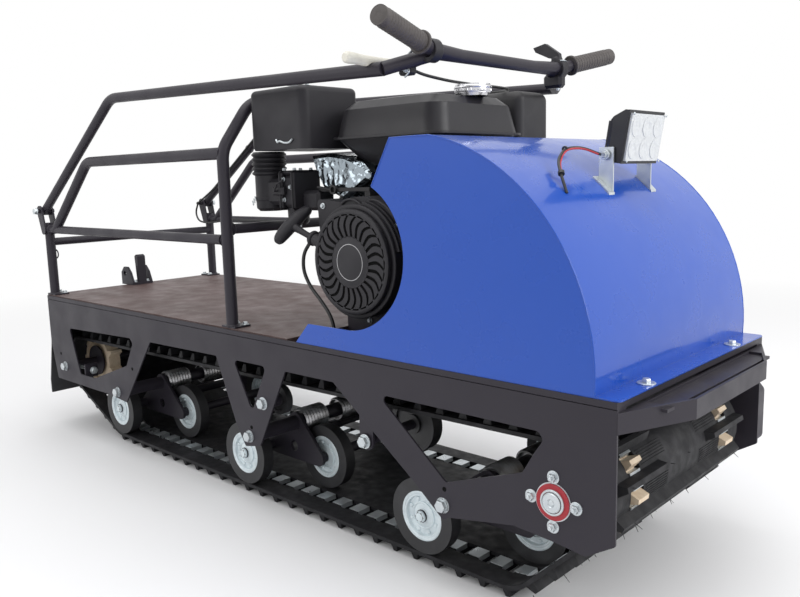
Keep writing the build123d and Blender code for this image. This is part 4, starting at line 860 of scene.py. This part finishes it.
shape = bmesh.new()
for side in (-1, 1):
    y = side * 211
    turned(shape, ((12.8, -11), (20, -11), (21, -9.5), (21, 9.5), (20, 11), (12.8, 11), (12.8, -11)),
           (BAR_X + 3, y, BAR_Z + 2), LEFT, 28)
swept(shape, [(BAR_X - 14, -211, BAR_Z - 6), (BAR_X - 36, -212, BAR_Z - 12), (BAR_X - 60, -216, BAR_Z - 16)],
      [11, 9.5, 8.5], 12, 1.2)
slab(shape, seated(BAR_X - 52, -214, BAR_Z - 36), 30, 22, 20, 4)
slab(shape, seated(BAR_X - 6, 211, BAR_Z - 38), 46, 24, 30, 6)
turned(shape, ((0, 12), (12, 12), (12, 24), (9, 28), (0, 28)), (BAR_X, 211, BAR_Z), UP, 20)
paddle = [(BAR_X + 10, BAR_Z + 24), (BAR_X + 8, BAR_Z + 34), (BAR_X - 26, BAR_Z + 58),
          (BAR_X - 56, BAR_Z + 52), (BAR_X - 50, BAR_Z + 42), (BAR_X - 16, BAR_Z + 26)]
near = [shape.verts.new(spot(x, 204, z)) for x, z in paddle]
pushed(shape, [shape.faces.new(near)], (0, PADDLE_WIDE / 1000.0, 0))
controls = piece("control_perches", shape, plastic, "handle")
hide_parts("control_levers")

shape = bmesh.new()
swept(shape, [(1432, -224, 955), (1442, -221, 964), (1454, -219, 974)], [4.2, 4, 3.4], 8, 0.6)
bolt(shape, (BAR_X - 60, -214, BAR_Z - 15), UP, 8, 5.5, False)
bolt(shape, (BAR_X - 44, -226, BAR_Z - 28), RIGHT, 8, 5, True)
swept(shape, flowing([(BAR_X - 40, -226, BAR_Z - 20), (BAR_X - 36, -228, BAR_Z - 32),
                      (BAR_X - 48, -226, BAR_Z - 40)], 3), 1.8, 8)
swept(shape, [(BAR_X + 15, 200, BAR_Z + 18), (BAR_X + 18, 211, BAR_Z + 18), (BAR_X + 15, 222, BAR_Z + 18)],
      [3, 3.6, 3], 8, 0.5)
bolt(shape, (BAR_X + 3, 211, BAR_Z - 38), (0, 0, -1), 7, 4.5, False)
piece("control_screws", shape, zinc, "handle")

# The grips' mouldings. Each rubber grip is pushed over the bar's end and has shallow rings,
# a flange at the inner end and a dimple in its end cap.
GRIP_ROOT = Vector((1498.5, 251.7, 977.9))
GRIP_WAY = Vector((0.1717, 0.9627, 0.2085))
shape = bmesh.new()
for side in (-1, 1):
    along = (GRIP_WAY.x, side * GRIP_WAY.y, GRIP_WAY.z)
    root = (GRIP_ROOT.x, side * GRIP_ROOT.y, GRIP_ROOT.z)
    for index in range(13):
        lift = 8 + index * 8.6
        turned(shape, ((16.6, lift - 2), (17.7, lift - 1.1), (17.7, lift + 1.1), (16.6, lift + 2),
                       (16.6, lift - 2)), root, along, 24)
    turned(shape, ((12.8, -6), (20, -6), (21.4, -4.5), (21.4, -1), (20, 0.6), (12.8, 0.6), (12.8, -6)),
           root, along, 28)
    turned(shape, ((0, 127.5), (5, 127.5), (5.6, 129.2), (13, 129.6), (16, 128.2), (17.4, 125), (16.8, 122),
                   (0, 122)), root, along, 28)
piece("grip_mouldings", shape, grip_rubber, "handle")

# The cable's straps. Three plastic bands, drawn tight round the left arm, hold the brake cable
# to it between the bar and the fold.
FOLD_X, FOLD_Z = 5, 671
ELBOW_X, ELBOW_Z = 459, 966
ARM_Y = 284
shape = bmesh.new()
for share in (0.25, 0.6, 0.92):
    x = FOLD_X + (ELBOW_X - FOLD_X) * share
    z = FOLD_Z + (ELBOW_Z - FOLD_Z) * share
    turned(shape, ((12.9, -2.2), (14.1, -2.2), (14.1, 2.2), (12.9, 2.2), (12.9, -2.2)), (x, ARM_Y, z),
           (ELBOW_X - FOLD_X, 0, ELBOW_Z - FOLD_Z), 24)
piece("cable_straps", shape, plastic, "handle")

# The work lamp. A die-cast housing with cooling ribs behind, a bright bezel screwed round the
# lens, and moulded reflector cups behind a ribbed clear cover.
LAMP_SEAT = Matrix.Translation(spot(1778, 30, 805)) @ Matrix.Rotation(math.radians(9.5), 4, "Y")


def rim(shape, seat, wide, tall, border, deep):
    """A flat rectangular frame whose own X looks out of its face."""
    face = [shape.verts.new(seat @ Vector((0, y * wide / 2000.0, z * tall / 2000.0)))
            for y, z in ((-1, -1), (1, -1), (1, 1), (-1, 1))]
    made = bmesh.ops.inset_region(shape, faces=[shape.faces.new(face)], thickness=border / 1000.0)["faces"]
    inner = [f for f in shape.faces
             if f not in made and all(v not in face for v in f.verts) and len(f.verts) == 4
             and abs((seat.inverted() @ f.calc_center_median()).length) < border / 4000.0]
    bmesh.ops.delete(shape, geom=inner, context="FACES_ONLY")
    pushed(shape, made, seat.to_3x3() @ Vector((deep / 1000.0, 0, 0)))


BEZEL_GREY = (0.11, 0.11, 0.12)
bezel = Finish("lamp_bezel", BEZEL_GREY, 0.4)
bezel.soft_edges(0.0008)
bezel.roughen(bezel.ramp(bezel.grain(60.0, 4.0), 0.3, 0.7, 0.28, 0.45))
shape = bmesh.new()
rim(shape, LAMP_SEAT @ Matrix.Translation((-0.001, 0, 0)), 137, 93, 6.5, 7.5)
piece("lamp_bezel", shape, bezel, "lamp")

shape = bmesh.new()
for row in (-1, 1):
    for column in (-1, 0, 1):
        seat = LAMP_SEAT @ Vector((0.004, column * 0.041, row * 0.019))
        at = (seat.x * 1000 + STATION_ZERO, seat.y * 1000, seat.z * 1000)
        turned(shape, ((0, -0.6), (4, -0.5), (9, 0.6), (16.5, 1.1), (18, 0.9), (18.4, -0.8), (0, -0.8)), at,
               LAMP_SEAT.to_3x3() @ Vector((1, 0, 0)), 24)
piece("lamp_reflector_cups", shape, lens, "lamp")

shape = bmesh.new()
for index in range(9):
    y = (index - 4) * 13.0
    slab(shape, LAMP_SEAT @ Matrix.Translation((-0.041, y / 1000.0, -0.036)), 7, 2.6, 60, 0.8)
piece("lamp_cooling_ribs", shape, lamp_coat, "lamp")

shape = bmesh.new()
for y in (-62, 62):
    for z in (-40.5, 40.5):
        seat = LAMP_SEAT @ Vector((0.0062, y / 1000.0, z / 1000.0))
        turned(shape, ((0, 0), (2.6, 0), (2.4, 1.2), (1.2, 1.6), (0, 1.6)),
               (seat.x * 1000 + STATION_ZERO, seat.y * 1000, seat.z * 1000),
               LAMP_SEAT.to_3x3() @ Vector((1, 0, 0)), 12)
piece("lamp_bezel_screws", shape, zinc, "lamp")

# The lamp's second lead. A red plastic-covered wire lies beside the black one, and two small
# plastic ties hold the pair together.
WIRE_RED = (0.42, 0.015, 0.03)
red = Finish("red_wire", WIRE_RED, 0.45)
red.bump(red.grain(400.0), 0.00006)
shape = bmesh.new()
swept(shape, flowing([(1742, -66, 777), (1722, -86, 787), (1711, -118, 784.5), (1718, -150, 766),
                      (1733, -172, 748)], 5), 1.7, 8)
piece("lamp_red_wire", shape, red, "chassis")
shape = bmesh.new()
turned(shape, ((2.2, -3), (5.6, -3), (5.6, 3), (2.2, 3), (2.2, -3)), (1736, -177, 746.5), (16, -22, -26), 14)
turned(shape, ((2.2, -2), (5.2, -2), (5.2, 2), (2.2, 2), (2.2, -2)), (1706.8, -118, 787), (1, -9, -1), 14)
piece("lamp_wire_ties", shape, sheath, "chassis")

# The belt tensioners. A threaded rod and nuts draw each end of the rear axle back from a
# welded lug on the side plate.
shape = bmesh.new()
for side in (-1, 1):
    y = side * 272
    thread = [(5 if index % 2 else 4.2, 92 + index * 1.5) for index in range(84)]
    turned(shape, [(0, 92), *thread, (0, 217)], (0, y, 203.5), AHEAD, 10)
    bolt(shape, (196, y, 203.5), (-1, 0, 0), 17, 11, False)
    bolt(shape, (206, y, 203.5), AHEAD, 17, 11, False)
piece("tensioner_rods", shape, zinc, "chassis")
shape = bmesh.new()
for side in (-1, 1):
    slab(shape, seated(201, side * 276.5, 184), 6, 39, 40, 1.2)
piece("tensioner_lugs", shape, coat, "chassis")

# The cage's weld beads. A fillet of weld is laid round each post's foot and each rail's end
# and coated with the frame.
CAGE_Y = 284.0
shape = bmesh.new()


def weld(shape, place, along, radius, size=3.4):
    """A ring of fillet weld that leans on a tube of this radius."""
    turned(shape, ((radius - 0.6, -0.4), (radius + size, -0.4), (radius + size * 0.8, size * 0.45),
                   (radius + size * 0.35, size * 0.85), (radius - 0.6, size)), place, along, 20)


for side in (-1, 1):
    y = side * CAGE_Y
    weld(shape, (22, y, 421), UP, 13.5)
    weld(shape, (940, y, 421), UP, 13.5)
    weld(shape, (36, y, 616), AHEAD, 11.5)
    weld(shape, (926.5, y, 616), (-1, 0, 0), 11.5)
    weld(shape, (22, side * 270.5, 540), (0, -side, 0), 11.5)
    weld(shape, (940, side * 270.5, 640), (0, -side, 0), 11.5)
piece("weld_beads", shape, coat, "chassis")

# The hood's edge. The rolled front sheet is welded to the flat sides, and the ground bead
# catches the light as a thin pale line.
HOOD_CENTRE = (1485.95, 438.0)
HOOD_RADIUS = 383.4
HOOD_SIDE = 298.2
shape = bmesh.new()
for side in (-1, 1):
    line = [(1415, side * HOOD_SIDE, 731.5), (1463, side * HOOD_SIDE, 815.4), (1500, side * HOOD_SIDE, 815.4)]
    for step in range(25):
        angle = math.radians(79.8 - 83.0 * step / 24)
        line.append((HOOD_CENTRE[0] + HOOD_RADIUS * math.cos(angle), side * HOOD_SIDE,
                     HOOD_CENTRE[1] + HOOD_RADIUS * math.sin(angle)))
    swept(shape, line, 1.5, 8)
piece("hood_edge_bead", shape, hood_paint, "chassis")

# The rear flap. A rubber sheet as wide as the frame, bent back from the rear edge, held by a
# clamp strip and bolts through the frame's rear wall.
shape = bmesh.new()
bent_sheet(shape, seated(0, 0, 0),
           [(-0.3, 416), (-6, 416), (-6, 300), (-14, 262), (-44.5, 142), (-44.5, 100), (-39, 100), (-39, 142),
            (-8.5, 262), (-0.3, 300)], 590.0)
flap = piece("rear_flap_sheet", shape, flap_rubber, "chassis")
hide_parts("rear_flap")
shape = bmesh.new()
slab(shape, seated(-8, 0, 378), 4, 500, 24, 1)
piece("flap_strip", shape, coat, "chassis")
shape = bmesh.new()
for index in range(6):
    bolt(shape, (-10, (index - 2.5) * 90, 390), (-1, 0, 0), 10, 8, False)
for x in (-22, 32):
    for y in (-22, 22):
        bolt(shape, (x, y, 425), UP, 10, 7.5, False)
piece("flap_and_hitch_bolts", shape, zinc, "chassis")

# The bolts of the covers on the left. Zinc-plated hexagon heads on washers hold the belt cover
# to the engine, the chain case to the side plate and the guard to the silencer.
shape = bmesh.new()
for x, z in ((1210, 582), (1303, 676), (1303, 488), (1466, 629), (1630, 625), (1730, 523)):
    bolt(shape, (x, 260, z), LEFT, 10, 7.5, False)
for x, z in ((1725, 225), (1875, 225), (1614, 506), (1684, 516)):
    bolt(shape, (x, 340, z), LEFT, 10, 8, False)
for x in (1180, 1410):
    for z in (822, 903):
        bolt(shape, (x, 255, z), LEFT, 8, 6.5, False)
piece("cover_bolts", shape, zinc, "chassis")
